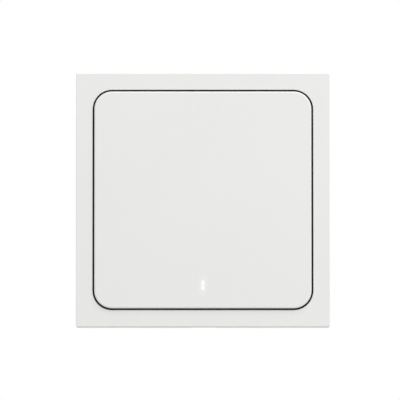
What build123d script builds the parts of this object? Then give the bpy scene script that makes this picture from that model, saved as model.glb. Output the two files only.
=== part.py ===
from build123d import *
import math
import os

# Single-key smart light switch for a wall box. All sizes are in millimetres.
# Each piece is drawn as it is seen from the room: X to the right, Y up the wall and Z out of the
# wall, with the wall at Z = 0. The last step turns the pieces so that Z is up and the room is at -Y.

# Push key
KEY_SIDE = 73.6
KEY_CORNER_R = 6.0
KEY_FACE_T = 1.8
KEY_WALL_T = 1.4
KEY_SKIRT = 3.2
KEY_EDGE_R = 0.5
KEY_PROUD = 0.8
KEY_RUN = 1.6
KEY_TRAVEL_DEG = 1.0
KEY_RIB_T = 1.0
KEY_RIB_H = 1.0
KEY_RIB_PITCH = 29.4

# Decor frame round the key
KEY_GAP = 0.6
FRAME_BORDER = 5.6
FRAME_FACE_T = 2.0
FRAME_WALL_T = 1.8
FRAME_CORNER_R = 0.5
FRAME_BEVEL = 0.15
FRAME_RIB_T = 0.9
SNAP_W = 7.0
SNAP_T = 1.1
SNAP_BITE = 0.65
SNAP_NOSE = 1.2
SNAP_SPREAD = 46.0
GUSSET_T = 1.0
GUSSET_H = 1.6
GUSSET_SPREAD = 14.0
PRY_W = 9.0
PRY_H = 1.3

# Key carrier, the black plate behind the key, with a fence round the key that the frame rests on
CARRIER_T = 1.6
FENCE_T = 1.2
CARRIER_EDGE = 0.6
CARRIER_WALL_T = 1.4
CARRIER_WALL_INSET = 1.6
CARRIER_GAP = 1.0

# Hinge at the top of the key: pins on the key turn in eyes on the carrier
HINGE_INSET = 5.8
HINGE_RISE = 0.4
HINGE_SPREAD = 50.0
PIN_R = 1.12
PIN_CLEAR = 0.08
EYE_WALL = 0.9
EYE_T = 1.8
LUG_R = 1.7
LUG_T = 1.8

# Hooks, stops and springs at the bottom of the key
HOOK_SPREAD = 56.0
HOOK_INSET = 3.8
HOOK_W = 5.6
HOOK_T = 1.2
HOOK_NOSE = 0.8
HOOK_NOSE_H = 1.1
STOP_INSET = 5.2
STOP_SIDE = 3.0
SPRING_SPREAD = 44.0
SPRING_INSET = 12.8
SPRING_R = 2.1
SPRING_WIRE = 0.45
SPRING_TURNS = 3.5
SPRING_STEPS = 12
SPRING_SIDES = 6
SPRING_SEAT = 1.0
SPRING_POST_R = 1.4
SPRING_POST_H = 1.2

# Indicator window near the bottom of the key
LENS_INSET = 7.75
LENS_W = 1.5
LENS_H = 3.8
LENS_FLANGE = 0.9
LENS_FLANGE_T = 0.7
LENS_STEM = 1.4

# Mounting plate on the wall
PLATE_T = 1.5
PLATE_EDGE = 0.7
POCKET_DEPTH = 0.6
POCKET_SIDE = 15.0
POCKET_CUT = 2.0
FIXING_SPACING = 60.3
FIXING_SLOT_W = 4.0
FIXING_SLOT_L = 7.0
FIXING_ACCESS_R = 4.2
FIXING_TUBE_T = 1.0

# Eight-sided box in the wall, which snaps into the plate from the front
BOX_SIDE = 50.0
BOX_CHAMFER = 13.0
BOX_DEPTH = 29.0
BOX_WALL_T = 1.6
BOX_EDGE_R = 1.2
BOX_FIT = 0.15
RIM_W = 2.0
RIM_T = 0.8
CATCH_W = 8.0
CATCH_OUT = 0.9
CATCH_H = 0.7
CATCH_SPREAD = 14.0
PANEL_W = 26.0
PANEL_H = 17.0
PANEL_Y = 9.0
PANEL_DEPTH = 0.4
PANEL_R = 1.5
GRIP_RIBS = 4
GRIP_PITCH = 5.0
GRIP_T = 1.2
GRIP_H = 0.5
GRIP_LENGTH = 14.0

# Screws that hold the carrier to the base
SCREW_R = 1.2
SCREW_HEAD_R = 2.2
SCREW_HEAD_T = 0.9
SCREW_SHANK = 3.6
CARRIER_SCREW_INSET = 4.5
CARRIER_SCREW_Y = 22.0
BOSS_WALL = 1.3

# Control board behind the carrier
BOARD_STANDOFF = 0.9
CONTROL_W = 48.0
CONTROL_H = 62.0
CONTROL_T = 1.0
CONTROL_CORNER = 3.0
STANDOFF_SIDE = 3.4
LOCATING_R = 0.9
STANDOFF_X = 18.0
STANDOFF_INSET = 3.0

# Tactile switch on the control board
TACT_INSET = 22.8
TACT_SIDE = 6.2
TACT_H = 3.0
TACT_STEM_R = 1.7
TACT_STEM_H = 1.4
TACT_FLOOR = 0.6
TACT_GAP = 0.05

# Light-emitting diode behind the indicator window
LED_W = 1.6
LED_H = 3.2
LED_T = 0.45
LED_DOME = 0.3

# Radio module on the back of the control board
RADIO_W = 13.0
RADIO_H = 18.0
RADIO_T = 0.8
RADIO_X = -9.0
RADIO_Y = 8.0
SHIELD_H = 2.0
SHIELD_T = 0.2
SHIELD_MARGIN = 0.8
ANTENNA_H = 5.0

# Pin connector between the two boards
CONNECTOR_PINS = 6
CONNECTOR_PITCH = 2.0
CONNECTOR_X = -10.0
CONNECTOR_Y = -8.5
CONNECTOR_D = 2.4
PLUG_H = 2.0
PIN_SQUARE = 0.5
PIN_BITE = 3.0

# Power board in the box
POWER_DROP = 4.0
POWER_T = 1.6
POWER_CLEAR = 0.3
POST_R = 2.4
LEAD_R = 0.35
LEAD_SIDES = 8
LEAD_CLEAR = 0.1
LEAD_TAIL = 1.0

# Parts on the power board
RELAY_W, RELAY_D, RELAY_H = 20.5, 10.2, 15.7
RELAY_XY = (0.0, 14.6)
CORE_W, CORE_D, CORE_H = 13.0, 5.0, 12.0
CORE_LEG = 3.4
CORE_BACK = 2.0
COIL_WALL = 2.2
COIL_CLEAR = 0.15
TRANSFORMER_XY = (-14.0, 0.0)
BULK_R, BULK_H = 4.0, 14.0
BULK_XY = (0.0, 3.2)
FILM_W, FILM_D, FILM_H = 11.0, 5.0, 9.0
FILM_XY = (13.5, 4.0)
VARISTOR_R, VARISTOR_T = 3.6, 3.2
VARISTOR_XY = (14.5, -4.5)
FUSE_R, FUSE_L = 1.5, 8.0
FUSE_XY = (0.5, -6.0)
FUSE_RISE = 0.6
SMALL_EDGE = 0.4

# Screw terminals, one moulded block for each pole
POLES = 3
POLE_PITCH = 7.5
POLE_GAP = 0.1
TERMINAL_TOP = -11.2
TERMINAL_CLEAR = 0.2
TERMINAL_RECESS = 0.4
WIRE_R = 1.6
WIRE_Y = -15.6
WIRE_BORE = 5.0
WIRE_FUNNEL = 0.6
CLAMP_W = 5.2
CLAMP_T = 0.8
CLAMP_NUT = 2.0
CLAMP_L = 6.4
CLAMP_TOP = -12.8
CLAMP_BOTTOM = -21.0
CLAMP_CLEAR = 0.15
CLAMP_TAB = 1.0
CLAMP_SCREW_R = 1.5
CLAMP_SCREW_TIP = -18.4
CLAMP_HEAD_R = 2.0
CLAMP_HEAD_T = 1.4
DRIVER_SLOT = 0.6
DRIVER_R = 2.3
THREAD_CLEAR = 0.05

# Running room between pieces that pass each other
SLIDE = 0.3
TOUCH = 0.05

# Heights that follow from the sizes above, all measured out of the wall
BOARD_BACK = PLATE_T + BOARD_STANDOFF
BOARD_FRONT = BOARD_BACK + CONTROL_T
CARRIER_BACK = BOARD_FRONT + CARRIER_GAP
CARRIER_FRONT = CARRIER_BACK + CARRIER_T
KEY_BACK = CARRIER_FRONT + KEY_RUN
KEY_FRONT = KEY_BACK + KEY_SKIRT
KEY_INNER = KEY_FRONT - KEY_FACE_T
FRAME_FRONT = KEY_FRONT - KEY_PROUD
FRAME_INNER = FRAME_FRONT - FRAME_FACE_T
HINGE_Z = CARRIER_FRONT + HINGE_RISE
TACT_TOP = BOARD_FRONT + TACT_H
STEM_TOP = TACT_TOP + TACT_STEM_H
POWER_FRONT = -POWER_DROP
POWER_BACK = POWER_FRONT - POWER_T
BOX_FLOOR = BOX_WALL_T - BOX_DEPTH
RIM_FRONT = PLATE_T + RIM_T

# Widths that follow from the sizes above
OPENING_SIDE = KEY_SIDE + 2 * KEY_GAP
OPENING_R = KEY_CORNER_R + KEY_GAP
FRAME_SIDE = OPENING_SIDE + 2 * FRAME_BORDER
FENCE_SIDE = OPENING_SIDE + 2 * FENCE_T
FENCE_R = OPENING_R + FENCE_T
CARRIER_SIDE = FENCE_SIDE + 2 * CARRIER_EDGE
CARRIER_R = FENCE_R + CARRIER_EDGE
CARRIER_WALL_SIDE = CARRIER_SIDE - 2 * CARRIER_WALL_INSET
PLATE_SIDE = CARRIER_WALL_SIDE + 2 * PLATE_EDGE
PLATE_R = CARRIER_R - CARRIER_WALL_INSET + PLATE_EDGE
BOX_INSIDE = BOX_SIDE - 2 * BOX_WALL_T
POWER_SIDE = BOX_INSIDE - 2 * POWER_CLEAR
CORNER_SHARE = 2 - math.sqrt(2)
BOX_INSIDE_CHAMFER = BOX_CHAMFER - BOX_WALL_T * CORNER_SHARE
TERMINAL_BOTTOM = TERMINAL_CLEAR - BOX_INSIDE / 2
TERMINAL_BACK = TERMINAL_RECESS - BOX_DEPTH
CLAMP_BACK = TERMINAL_BACK + WIRE_BORE
HINGE_Y = KEY_SIDE / 2 - HINGE_INSET
HOOK_Y = HOOK_INSET - KEY_SIDE / 2
STOP_Y = STOP_INSET - KEY_SIDE / 2
SPRING_Y = SPRING_INSET - KEY_SIDE / 2
LENS_Y = LENS_INSET - KEY_SIDE / 2
TACT_Y = TACT_INSET - KEY_SIDE / 2
EYE_R = PIN_R + PIN_CLEAR
EYE_X = HINGE_SPREAD / 2
LUG_X = EYE_X - SLIDE - LUG_T
SPRING_FOOT = CARRIER_FRONT - SPRING_SEAT
POLE_XS = [POLE_PITCH * (i - (POLES - 1) / 2) for i in range(POLES)]
CARRIER_SCREW_X = CARRIER_WALL_SIDE / 2 - CARRIER_WALL_T - CARRIER_SCREW_INSET
CARRIER_SCREWS = [(sx * CARRIER_SCREW_X, sy * CARRIER_SCREW_Y) for sx in (-1, 1) for sy in (-1, 1)]
STANDOFF_Y = CONTROL_H / 2 - STANDOFF_INSET
STANDOFFS = [(sx * STANDOFF_X, sy * STANDOFF_Y) for sx in (-1, 1) for sy in (-1, 1)]
POST_XY = (BOX_INSIDE - BOX_INSIDE_CHAMFER - math.sqrt(2) * (SCREW_HEAD_R + SLIDE)) / 2
POSTS = [(sx * POST_XY, sy * POST_XY) for sx in (-1, 1) for sy in (-1, 1)]
POWER_SCREWS = [(-POST_XY, POST_XY), (POST_XY, POST_XY)]
FIXINGS = [(-FIXING_SPACING / 2, 0), (FIXING_SPACING / 2, 0)]


def slab(sketch, low, high):
    """A flat outline made solid between two heights."""
    return extrude(Pos(0, 0, low) * sketch, amount=high - low)


def rounded_square(side, radius):
    """A square outline with round corners."""
    return RectangleRounded(side, side, radius)


def eight_sided(side, cut):
    """A square outline with its corners cut off at 45 degrees."""
    half = side / 2
    inner = half - cut
    corners = [(half, inner), (inner, half), (-inner, half), (-half, inner)]
    return Polygon(*corners, *[(-x, -y) for x, y in corners], align=None)


def block(width, depth, low, high, at=(0, 0)):
    """An upright box of the given width and depth, between two heights."""
    return slab(Pos(*at) * Rectangle(width, depth), low, high)


def post(radius, low, high, at=(0, 0)):
    """An upright round post between two heights."""
    return slab(Pos(*at) * Circle(radius), low, high)


def lead_rod(radius, low, high, at):
    """An upright lead wire, or its hole, with only a few sides because there are many of them."""
    return slab(Pos(*at) * RegularPolygon(radius, LEAD_SIDES), low, high)


def side_plate(outline, x_low, x_high):
    """An outline in the YZ plane made solid between two places along X."""
    return extrude(Plane.YZ.offset(x_low) * outline, amount=x_high - x_low, dir=(1, 0, 0))


def travel_at(y):
    """How far the key's back moves in at this height when it is fully pressed."""
    return (HINGE_Y - y) * math.radians(KEY_TRAVEL_DEG)


def snap_leg():
    """One spring leg of the frame, at its top side, with a nose that hooks behind the carrier."""
    inner = CARRIER_SIDE / 2 + SLIDE / 2
    nose_top = CARRIER_BACK - TOUCH
    nose_low = nose_top - SNAP_NOSE
    tip = inner - SLIDE / 2 - SNAP_BITE
    outline = Polygon(
        (inner, FRAME_INNER),
        (inner, nose_top),
        (tip, nose_top),
        (inner, nose_low),
        (inner + SNAP_T, nose_low),
        (inner + SNAP_T, FRAME_INNER),
        align=None,
    )
    return side_plate(outline, -SNAP_W / 2, SNAP_W / 2)


def front_frame():
    """The square decor frame: an open face with a skirt, a rib round the fence and eight snap legs."""
    body = slab(rounded_square(FRAME_SIDE, FRAME_CORNER_R), 0, FRAME_FRONT)
    body = chamfer(body.edges().group_by(Axis.Z)[-1], FRAME_BEVEL)
    body -= block(FRAME_SIDE - 2 * FRAME_WALL_T, FRAME_SIDE - 2 * FRAME_WALL_T, 0, FRAME_INNER)
    body -= slab(rounded_square(OPENING_SIDE, OPENING_R), FRAME_INNER, FRAME_FRONT)
    face = body.faces().sort_by(Axis.Z)[-1]
    body = chamfer(face.inner_wires()[0].edges(), FRAME_BEVEL)
    rib = rounded_square(FENCE_SIDE + SLIDE + 2 * FRAME_RIB_T, FENCE_R + SLIDE / 2 + FRAME_RIB_T)
    rib -= rounded_square(FENCE_SIDE + SLIDE, FENCE_R + SLIDE / 2)
    body += slab(rib, CARRIER_FRONT + TOUCH, FRAME_INNER)
    gusset_in = (FENCE_SIDE + SLIDE) / 2 + FRAME_RIB_T
    gusset_out = FRAME_SIDE / 2 - FRAME_WALL_T
    gusset_y = (gusset_in + gusset_out) / 2
    for turn in range(0, 360, 90):
        for along in (-SNAP_SPREAD / 2, SNAP_SPREAD / 2):
            body += Rot(0, 0, turn) * Pos(along, 0, 0) * snap_leg()
        for along in (-GUSSET_SPREAD / 2, GUSSET_SPREAD / 2):
            depth = gusset_out - gusset_in
            gusset = block(GUSSET_T, depth, FRAME_INNER - GUSSET_H, FRAME_INNER, (along, gusset_y))
            body += Rot(0, 0, turn) * gusset
    pry_at = (0, (FRAME_WALL_T - FRAME_SIDE) / 2)
    return body - block(PRY_W, FRAME_WALL_T, 0, PRY_H, pry_at)


def key_lug(side):
    """The hinge lug and pin on one side of the key."""
    outline = Pos(HINGE_Y, HINGE_Z) * Circle(LUG_R)
    neck_top = KEY_INNER - HINGE_Z
    outline += Pos(HINGE_Y, HINGE_Z + neck_top / 2) * Rectangle(2 * LUG_R, neck_top)
    lug = side_plate(outline, LUG_X, LUG_X + LUG_T)
    pin = side_plate(Pos(HINGE_Y, HINGE_Z) * Circle(PIN_R), LUG_X + LUG_T, EYE_X + EYE_T)
    both = lug + pin
    return both if side > 0 else mirror(both, about=Plane.YZ)


def key_hook(side):
    """One hook at the bottom of the key, which stops the key from coming out of the carrier."""
    nose_top = CARRIER_BACK - TOUCH
    nose_low = nose_top - HOOK_NOSE_H
    out = HOOK_Y - HOOK_T / 2
    outline = Polygon(
        (HOOK_Y + HOOK_T / 2, KEY_INNER),
        (out, KEY_INNER),
        (out, nose_top),
        (out - HOOK_NOSE, nose_top),
        (out, nose_low),
        (HOOK_Y + HOOK_T / 2, nose_low),
        align=None,
    )
    x = side * HOOK_SPREAD / 2
    return side_plate(outline, x - HOOK_W / 2, x + HOOK_W / 2)


def push_key():
    """The large white key: a shallow tray with ribs, hinge lugs, hooks, stops and a pressing boss."""
    body = slab(rounded_square(KEY_SIDE, KEY_CORNER_R), KEY_BACK, KEY_FRONT)
    body = fillet(body.edges().group_by(Axis.Z)[-1], KEY_EDGE_R)
    inside = KEY_SIDE - 2 * KEY_WALL_T
    body -= slab(rounded_square(inside, KEY_CORNER_R - KEY_WALL_T), KEY_BACK, KEY_INNER)
    for place in (-KEY_RIB_PITCH / 2, KEY_RIB_PITCH / 2):
        body += block(KEY_RIB_T, inside, KEY_INNER - KEY_RIB_H, KEY_INNER, (place, 0))
        body += block(inside, KEY_RIB_T, KEY_INNER - KEY_RIB_H, KEY_INNER, (0, place))
    for side in (-1, 1):
        body += key_lug(side)
        body += key_hook(side)
        stop_low = CARRIER_FRONT + travel_at(STOP_Y) + TOUCH
        stop_at = (side * KEY_RIB_PITCH / 2, STOP_Y)
        body += block(STOP_SIDE, STOP_SIDE, stop_low, KEY_INNER, stop_at)
        post_at = (side * SPRING_SPREAD / 2, SPRING_Y)
        body += post(SPRING_POST_R, KEY_INNER - SPRING_POST_H, KEY_INNER, post_at)
    body += post(TACT_STEM_R, STEM_TOP + TACT_GAP, KEY_INNER, (0, TACT_Y))
    window = Pos(0, LENS_Y) * SlotOverall(LENS_H, LENS_W, rotation=90)
    return body - slab(window, KEY_INNER, KEY_FRONT)


def indicator_lens():
    """The clear light guide that shows as a small upright bar on the key."""
    bar = Pos(0, LENS_Y) * SlotOverall(LENS_H - TOUCH, LENS_W - TOUCH, rotation=90)
    flange = Pos(0, LENS_Y) * SlotOverall(LENS_H + 2 * LENS_FLANGE, LENS_W + 2 * LENS_FLANGE, rotation=90)
    lens = slab(bar, KEY_INNER - LENS_STEM, KEY_FRONT)
    return lens + slab(flange, KEY_INNER - LENS_FLANGE_T, KEY_INNER)


def hinge_eye(side):
    """One upright eye on the carrier, in which a pin of the key turns."""
    outer = EYE_R + EYE_WALL
    outline = Pos(HINGE_Y, HINGE_Z) * Circle(outer)
    foot = HINGE_Z - CARRIER_BACK
    outline += Pos(HINGE_Y, CARRIER_BACK + foot / 2) * Rectangle(2 * outer, foot)
    outline -= Pos(HINGE_Y, HINGE_Z) * Circle(EYE_R)
    outline = outline & Pos(HINGE_Y, CARRIER_BACK + 2 * outer) * Rectangle(4 * outer, 4 * outer)
    eye = side_plate(outline, EYE_X, EYE_X + EYE_T)
    return eye if side > 0 else mirror(eye, about=Plane.YZ)


def key_carrier():
    """The black plate behind the key, with a fence, hinge eyes, spring seats and screw holes."""
    body = slab(rounded_square(CARRIER_SIDE, CARRIER_R), CARRIER_BACK, CARRIER_FRONT)
    fence = rounded_square(FENCE_SIDE, FENCE_R) - rounded_square(OPENING_SIDE, OPENING_R)
    body += slab(fence, CARRIER_FRONT, FRAME_INNER)
    wall = rounded_square(CARRIER_WALL_SIDE, CARRIER_R - CARRIER_WALL_INSET)
    wall -= rounded_square(
        CARRIER_WALL_SIDE - 2 * CARRIER_WALL_T, CARRIER_R - CARRIER_WALL_INSET - CARRIER_WALL_T
    )
    body += slab(wall, PLATE_T, CARRIER_BACK)
    for at in FIXINGS:
        body += post(FIXING_ACCESS_R + FIXING_TUBE_T, PLATE_T, CARRIER_BACK, at)
        body -= post(FIXING_ACCESS_R, PLATE_T, CARRIER_FRONT, at)
    for at in STANDOFFS:
        body += block(STANDOFF_SIDE, STANDOFF_SIDE, BOARD_FRONT, CARRIER_BACK, at)
    for at in CARRIER_SCREWS:
        body -= post(SCREW_R + SLIDE / 2, CARRIER_BACK, CARRIER_FRONT, at)
        body -= post(SCREW_HEAD_R + SLIDE / 2, CARRIER_FRONT - SCREW_HEAD_T, CARRIER_FRONT, at)
    for side in (-1, 1):
        lug_at = (side * (LUG_X + LUG_T / 2), HINGE_Y)
        body -= block(LUG_T + 2 * SLIDE, 2 * (LUG_R + SLIDE), CARRIER_BACK, CARRIER_FRONT, lug_at)
        hook_at = (side * HOOK_SPREAD / 2, HOOK_Y + HOOK_NOSE / 2)
        hook_room = HOOK_T + HOOK_NOSE + 2 * SLIDE
        body -= block(HOOK_W + 2 * SLIDE, hook_room, CARRIER_BACK, CARRIER_FRONT, hook_at)
        seat_at = (side * SPRING_SPREAD / 2, SPRING_Y)
        seat_r = SPRING_R + SPRING_WIRE / 2 + SLIDE / 2
        body -= post(seat_r, SPRING_FOOT, CARRIER_FRONT, seat_at)
        eye_foot = (side * (EYE_X + EYE_T / 2), HINGE_Y)
        body -= block(EYE_T, 2 * EYE_R, HINGE_Z - EYE_R, CARRIER_FRONT, eye_foot)
        body += hinge_eye(side)
    body -= block(TACT_SIDE + 2 * SLIDE, TACT_SIDE + 2 * SLIDE, CARRIER_BACK, CARRIER_FRONT, (0, TACT_Y))
    light = Pos(0, LENS_Y) * SlotOverall(LENS_H + 2 * SLIDE, LENS_W + 4 * SLIDE, rotation=90)
    return body - slab(light, CARRIER_BACK, CARRIER_FRONT)


def pan_screw(head_top, at):
    """A plain pan-head screw that faces the room, with its head's top at this height."""
    head = post(SCREW_HEAD_R, head_top - SCREW_HEAD_T, head_top, at)
    return head + post(SCREW_R, head_top - SCREW_HEAD_T - SCREW_SHANK, head_top - SCREW_HEAD_T, at)


def carrier_screws():
    """The four screws that hold the carrier on the base."""
    return [pan_screw(CARRIER_FRONT, at) for at in CARRIER_SCREWS]


def return_spring(side):
    """One compression spring that pushes the key out, with its end turns ground flat."""
    length = KEY_INNER - SPRING_FOOT
    path = Helix(length / SPRING_TURNS, length, SPRING_R)
    steps = round(SPRING_TURNS * SPRING_STEPS)
    wire = RegularPolygon(SPRING_WIRE / 2, SPRING_SIDES)
    planes = [Plane(path @ (i / steps), x_dir=(0, 0, 1), z_dir=path % (i / steps)) for i in range(steps + 1)]
    coil = loft([plane * wire for plane in planes], ruled=True)
    coil = coil & post(2 * SPRING_R, SPRING_WIRE / 4, length - SPRING_WIRE / 4)
    return Pos(side * SPRING_SPREAD / 2, SPRING_Y, SPRING_FOOT) * coil


def catch_places():
    """Where the catches of the box are along X, and on which side of the box."""
    return [(sx * CATCH_SPREAD / 2, sy) for sx in (-1, 1) for sy in (-1, 1)]


def box_outline(grow):
    """The box's eight-sided outline, moved out by this much on every side."""
    return eight_sided(BOX_SIDE + 2 * grow, BOX_CHAMFER + grow * CORNER_SHARE)


def mounting_plate():
    """The plate on the wall, with slots for the wall screws and a seat for the box."""
    body = slab(rounded_square(PLATE_SIDE, PLATE_R) - box_outline(BOX_FIT), 0, PLATE_T)
    pocket_at = (PLATE_SIDE - PLATE_R - POCKET_SIDE) / 2
    for sx in (-1, 1):
        for sy in (-1, 1):
            pocket = Pos(sx * pocket_at, sy * pocket_at) * eight_sided(POCKET_SIDE, POCKET_CUT)
            body -= slab(pocket - box_outline(RIM_W), 0, POCKET_DEPTH)
    for at in CARRIER_SCREWS:
        body += post(SCREW_R + BOSS_WALL, PLATE_T, CARRIER_BACK, at)
        body -= post(SCREW_R, CARRIER_FRONT - SCREW_HEAD_T - SCREW_SHANK, CARRIER_BACK, at)
    for at in STANDOFFS:
        body += block(STANDOFF_SIDE, STANDOFF_SIDE, PLATE_T, BOARD_BACK, at)
        body += post(LOCATING_R, BOARD_BACK, BOARD_FRONT, at)
    for at in FIXINGS:
        body -= slab(Pos(*at) * SlotOverall(FIXING_SLOT_L, FIXING_SLOT_W), 0, PLATE_T)
    for x, side in catch_places():
        room = CATCH_OUT + SLIDE
        notch_at = (x, side * (BOX_SIDE + room) / 2)
        body -= block(CATCH_W + 2 * SLIDE, room, 0, CATCH_H + TOUCH, notch_at)
    return body


def box_catch(x, side):
    """One catch of the box, which snaps behind the plate in a notch of the plate's back."""
    wall = BOX_SIDE / 2
    outline = Polygon(
        (wall, TOUCH),
        (wall, CATCH_H),
        (wall + CATCH_OUT, CATCH_H),
        (wall + CATCH_OUT / 2, TOUCH),
        align=None,
    )
    catch = side_plate(outline, x - CATCH_W / 2, x + CATCH_W / 2)
    return catch if side > 0 else mirror(catch, about=Plane.XZ)


def rear_box():
    """The eight-sided box in the wall, with a rim on the plate and a window for the terminals."""
    body = slab(box_outline(0), -BOX_DEPTH, PLATE_T)
    body = fillet(body.edges().filter_by(Axis.Z), BOX_EDGE_R)
    body = fillet(body.edges().group_by(Axis.Z)[0], BOX_EDGE_R)
    body += slab(box_outline(RIM_W), PLATE_T, RIM_FRONT)
    for at in FIXINGS:
        body -= post(FIXING_ACCESS_R + FIXING_TUBE_T + SLIDE, PLATE_T, RIM_FRONT, at)
    for side in (-1, 1):
        for i in range(GRIP_RIBS):
            rib_at = (side * (BOX_SIDE + GRIP_H) / 2, GRIP_PITCH * (i - (GRIP_RIBS - 1) / 2))
            low = (-BOX_DEPTH - GRIP_LENGTH) / 2
            body += block(GRIP_H, GRIP_T, low, low + GRIP_LENGTH, rib_at)
    for x, side in catch_places():
        body += box_catch(x, side)
    body -= slab(eight_sided(BOX_INSIDE, BOX_INSIDE_CHAMFER), BOX_FLOOR, RIM_FRONT)
    post_room = slab(box_outline(-BOX_WALL_T / 2), BOX_FLOOR, POWER_BACK)
    for at in POSTS:
        body += post(POST_R, BOX_FLOOR, POWER_BACK, at) & post_room
    for at in POWER_SCREWS:
        body -= post(SCREW_R, POWER_BACK - SCREW_SHANK, POWER_BACK, at)
    panel = Pos(0, PANEL_Y) * RectangleRounded(PANEL_W, PANEL_H, PANEL_R)
    body -= slab(panel, -BOX_DEPTH, PANEL_DEPTH - BOX_DEPTH)
    window_h = TERMINAL_TOP - TERMINAL_BOTTOM + TERMINAL_CLEAR
    window_y = (TERMINAL_TOP + TERMINAL_BOTTOM) / 2
    window_w = POLES * POLE_PITCH + 2 * TERMINAL_CLEAR
    body -= block(window_w, window_h, -BOX_DEPTH, BOX_FLOOR, (0, window_y))
    for x in POLE_XS:
        wall = Plane.XZ.offset(BOX_INSIDE / 2) * Pos(x, CLAMP_BACK + CLAMP_L / 2) * Circle(DRIVER_R)
        body -= extrude(wall, amount=BOX_WALL_T)
    return body


def control_board():
    """The board with the tactile switch, the indicator light and the radio."""
    outline = chamfer(Rectangle(CONTROL_W, CONTROL_H).vertices(), CONTROL_CORNER)
    board = slab(outline, BOARD_BACK, BOARD_FRONT)
    for at in STANDOFFS:
        board -= post(LOCATING_R + SLIDE / 2, BOARD_BACK, BOARD_FRONT, at)
    for x in connector_places():
        board -= block(PIN_SQUARE + LEAD_CLEAR, PIN_SQUARE + LEAD_CLEAR, BOARD_BACK, BOARD_FRONT, x)
    return board


def tact_switch_body():
    """The square case of the tactile switch, with a well for its stem."""
    body = block(TACT_SIDE, TACT_SIDE, BOARD_FRONT, TACT_TOP, (0, TACT_Y))
    body = chamfer(body.edges().filter_by(Axis.Z), SMALL_EDGE)
    return body - post(TACT_STEM_R + TOUCH, BOARD_FRONT + TACT_FLOOR, TACT_TOP, (0, TACT_Y))


def tact_switch_stem():
    """The stem of the tactile switch, which the key's boss pushes in."""
    low = BOARD_FRONT + TACT_FLOOR + travel_at(TACT_Y) + TOUCH
    stem = post(TACT_STEM_R, low, STEM_TOP, (0, TACT_Y))
    return chamfer(stem.edges().group_by(Axis.Z)[-1], SMALL_EDGE)


def status_led():
    """The light-emitting diode behind the indicator window."""
    led = block(LED_W, LED_H, BOARD_FRONT, BOARD_FRONT + LED_T, (0, LENS_Y))
    dome = Pos(0, LENS_Y) * SlotOverall(LED_H - SMALL_EDGE, LED_W - SMALL_EDGE, rotation=90)
    return led + slab(dome, BOARD_FRONT + LED_T, BOARD_FRONT + LED_T + LED_DOME)


def radio_board():
    """The small radio board, soldered flat on the back of the control board."""
    at = (RADIO_X, RADIO_Y)
    return block(RADIO_W, RADIO_H, BOARD_BACK - RADIO_T, BOARD_BACK, at)


def radio_shield():
    """The tin shield over the radio chip, an open tray that leaves the antenna end free."""
    width = RADIO_W - 2 * SHIELD_MARGIN
    height = RADIO_H - ANTENNA_H - SHIELD_MARGIN
    at = (RADIO_X, RADIO_Y - RADIO_H / 2 + SHIELD_MARGIN + height / 2)
    top = BOARD_BACK - RADIO_T
    can = block(width, height, top - SHIELD_H, top, at)
    can = fillet(can.edges().filter_by(Axis.Z), SMALL_EDGE)
    return can - block(width - 2 * SHIELD_T, height - 2 * SHIELD_T, top - SHIELD_H + SHIELD_T, top, at)


def connector_places():
    """Where each pin of the board connector stands."""
    first = CONNECTOR_X - CONNECTOR_PITCH * (CONNECTOR_PINS - 1) / 2
    return [(first + i * CONNECTOR_PITCH, CONNECTOR_Y) for i in range(CONNECTOR_PINS)]


def connector_body(low, high, hole):
    """The moulded part of the connector, with one square hole for each pin."""
    body = block(CONNECTOR_PINS * CONNECTOR_PITCH, CONNECTOR_D, low, high, (CONNECTOR_X, CONNECTOR_Y))
    for at in connector_places():
        body -= block(hole, hole, low, high, at)
    return body


def connector_plug():
    """The pin strip's moulded bar, on the back of the control board."""
    return connector_body(BOARD_BACK - PLUG_H, BOARD_BACK, PIN_SQUARE)


def connector_pins():
    """The square pins that join the two boards."""
    low = BOARD_BACK - PLUG_H - PIN_BITE
    return [block(PIN_SQUARE, PIN_SQUARE, low, BOARD_FRONT, at) for at in connector_places()]


def connector_socket():
    """The socket strip on the front of the power board."""
    return connector_body(POWER_FRONT, BOARD_BACK - PLUG_H, PIN_SQUARE + LEAD_CLEAR)


def lead_places():
    """Where the leads of each part go through the power board."""
    places = {}
    x, y = RELAY_XY
    places["relay"] = [(x + sx * RELAY_W / 3, y + sy * RELAY_D / 3) for sx in (-1, 1) for sy in (-1, 1)]
    x, y = TRANSFORMER_XY
    reach = CORE_D / 2 + COIL_WALL / 2
    places["coil"] = [(x + sx * CORE_LEG / 2, y + sy * reach) for sx in (-1, 1) for sy in (-1, 1)]
    x, y = BULK_XY
    places["bulk"] = [(x + s * BULK_R / 2, y) for s in (-1, 1)]
    x, y = FILM_XY
    places["film"] = [(x + s * FILM_W / 3, y) for s in (-1, 1)]
    x, y = VARISTOR_XY
    places["varistor"] = [(x + s * VARISTOR_R / 2, y) for s in (-1, 1)]
    x, y = FUSE_XY
    places["fuse"] = [(x + s * (FUSE_L / 2 + FUSE_R), y) for s in (-1, 1)]
    return places


def leads(part):
    """The wire leads of one part, from its foot through the power board."""
    rods = [lead_rod(LEAD_R, POWER_BACK, POWER_FRONT + LEAD_TAIL, at) for at in lead_places()[part]]
    return sum(rods[1:], rods[0])


def clamp_tab_at(x):
    """Where the solder tab of one terminal clamp goes through the power board."""
    return (x, CLAMP_TOP - CLAMP_T / 2)


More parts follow.
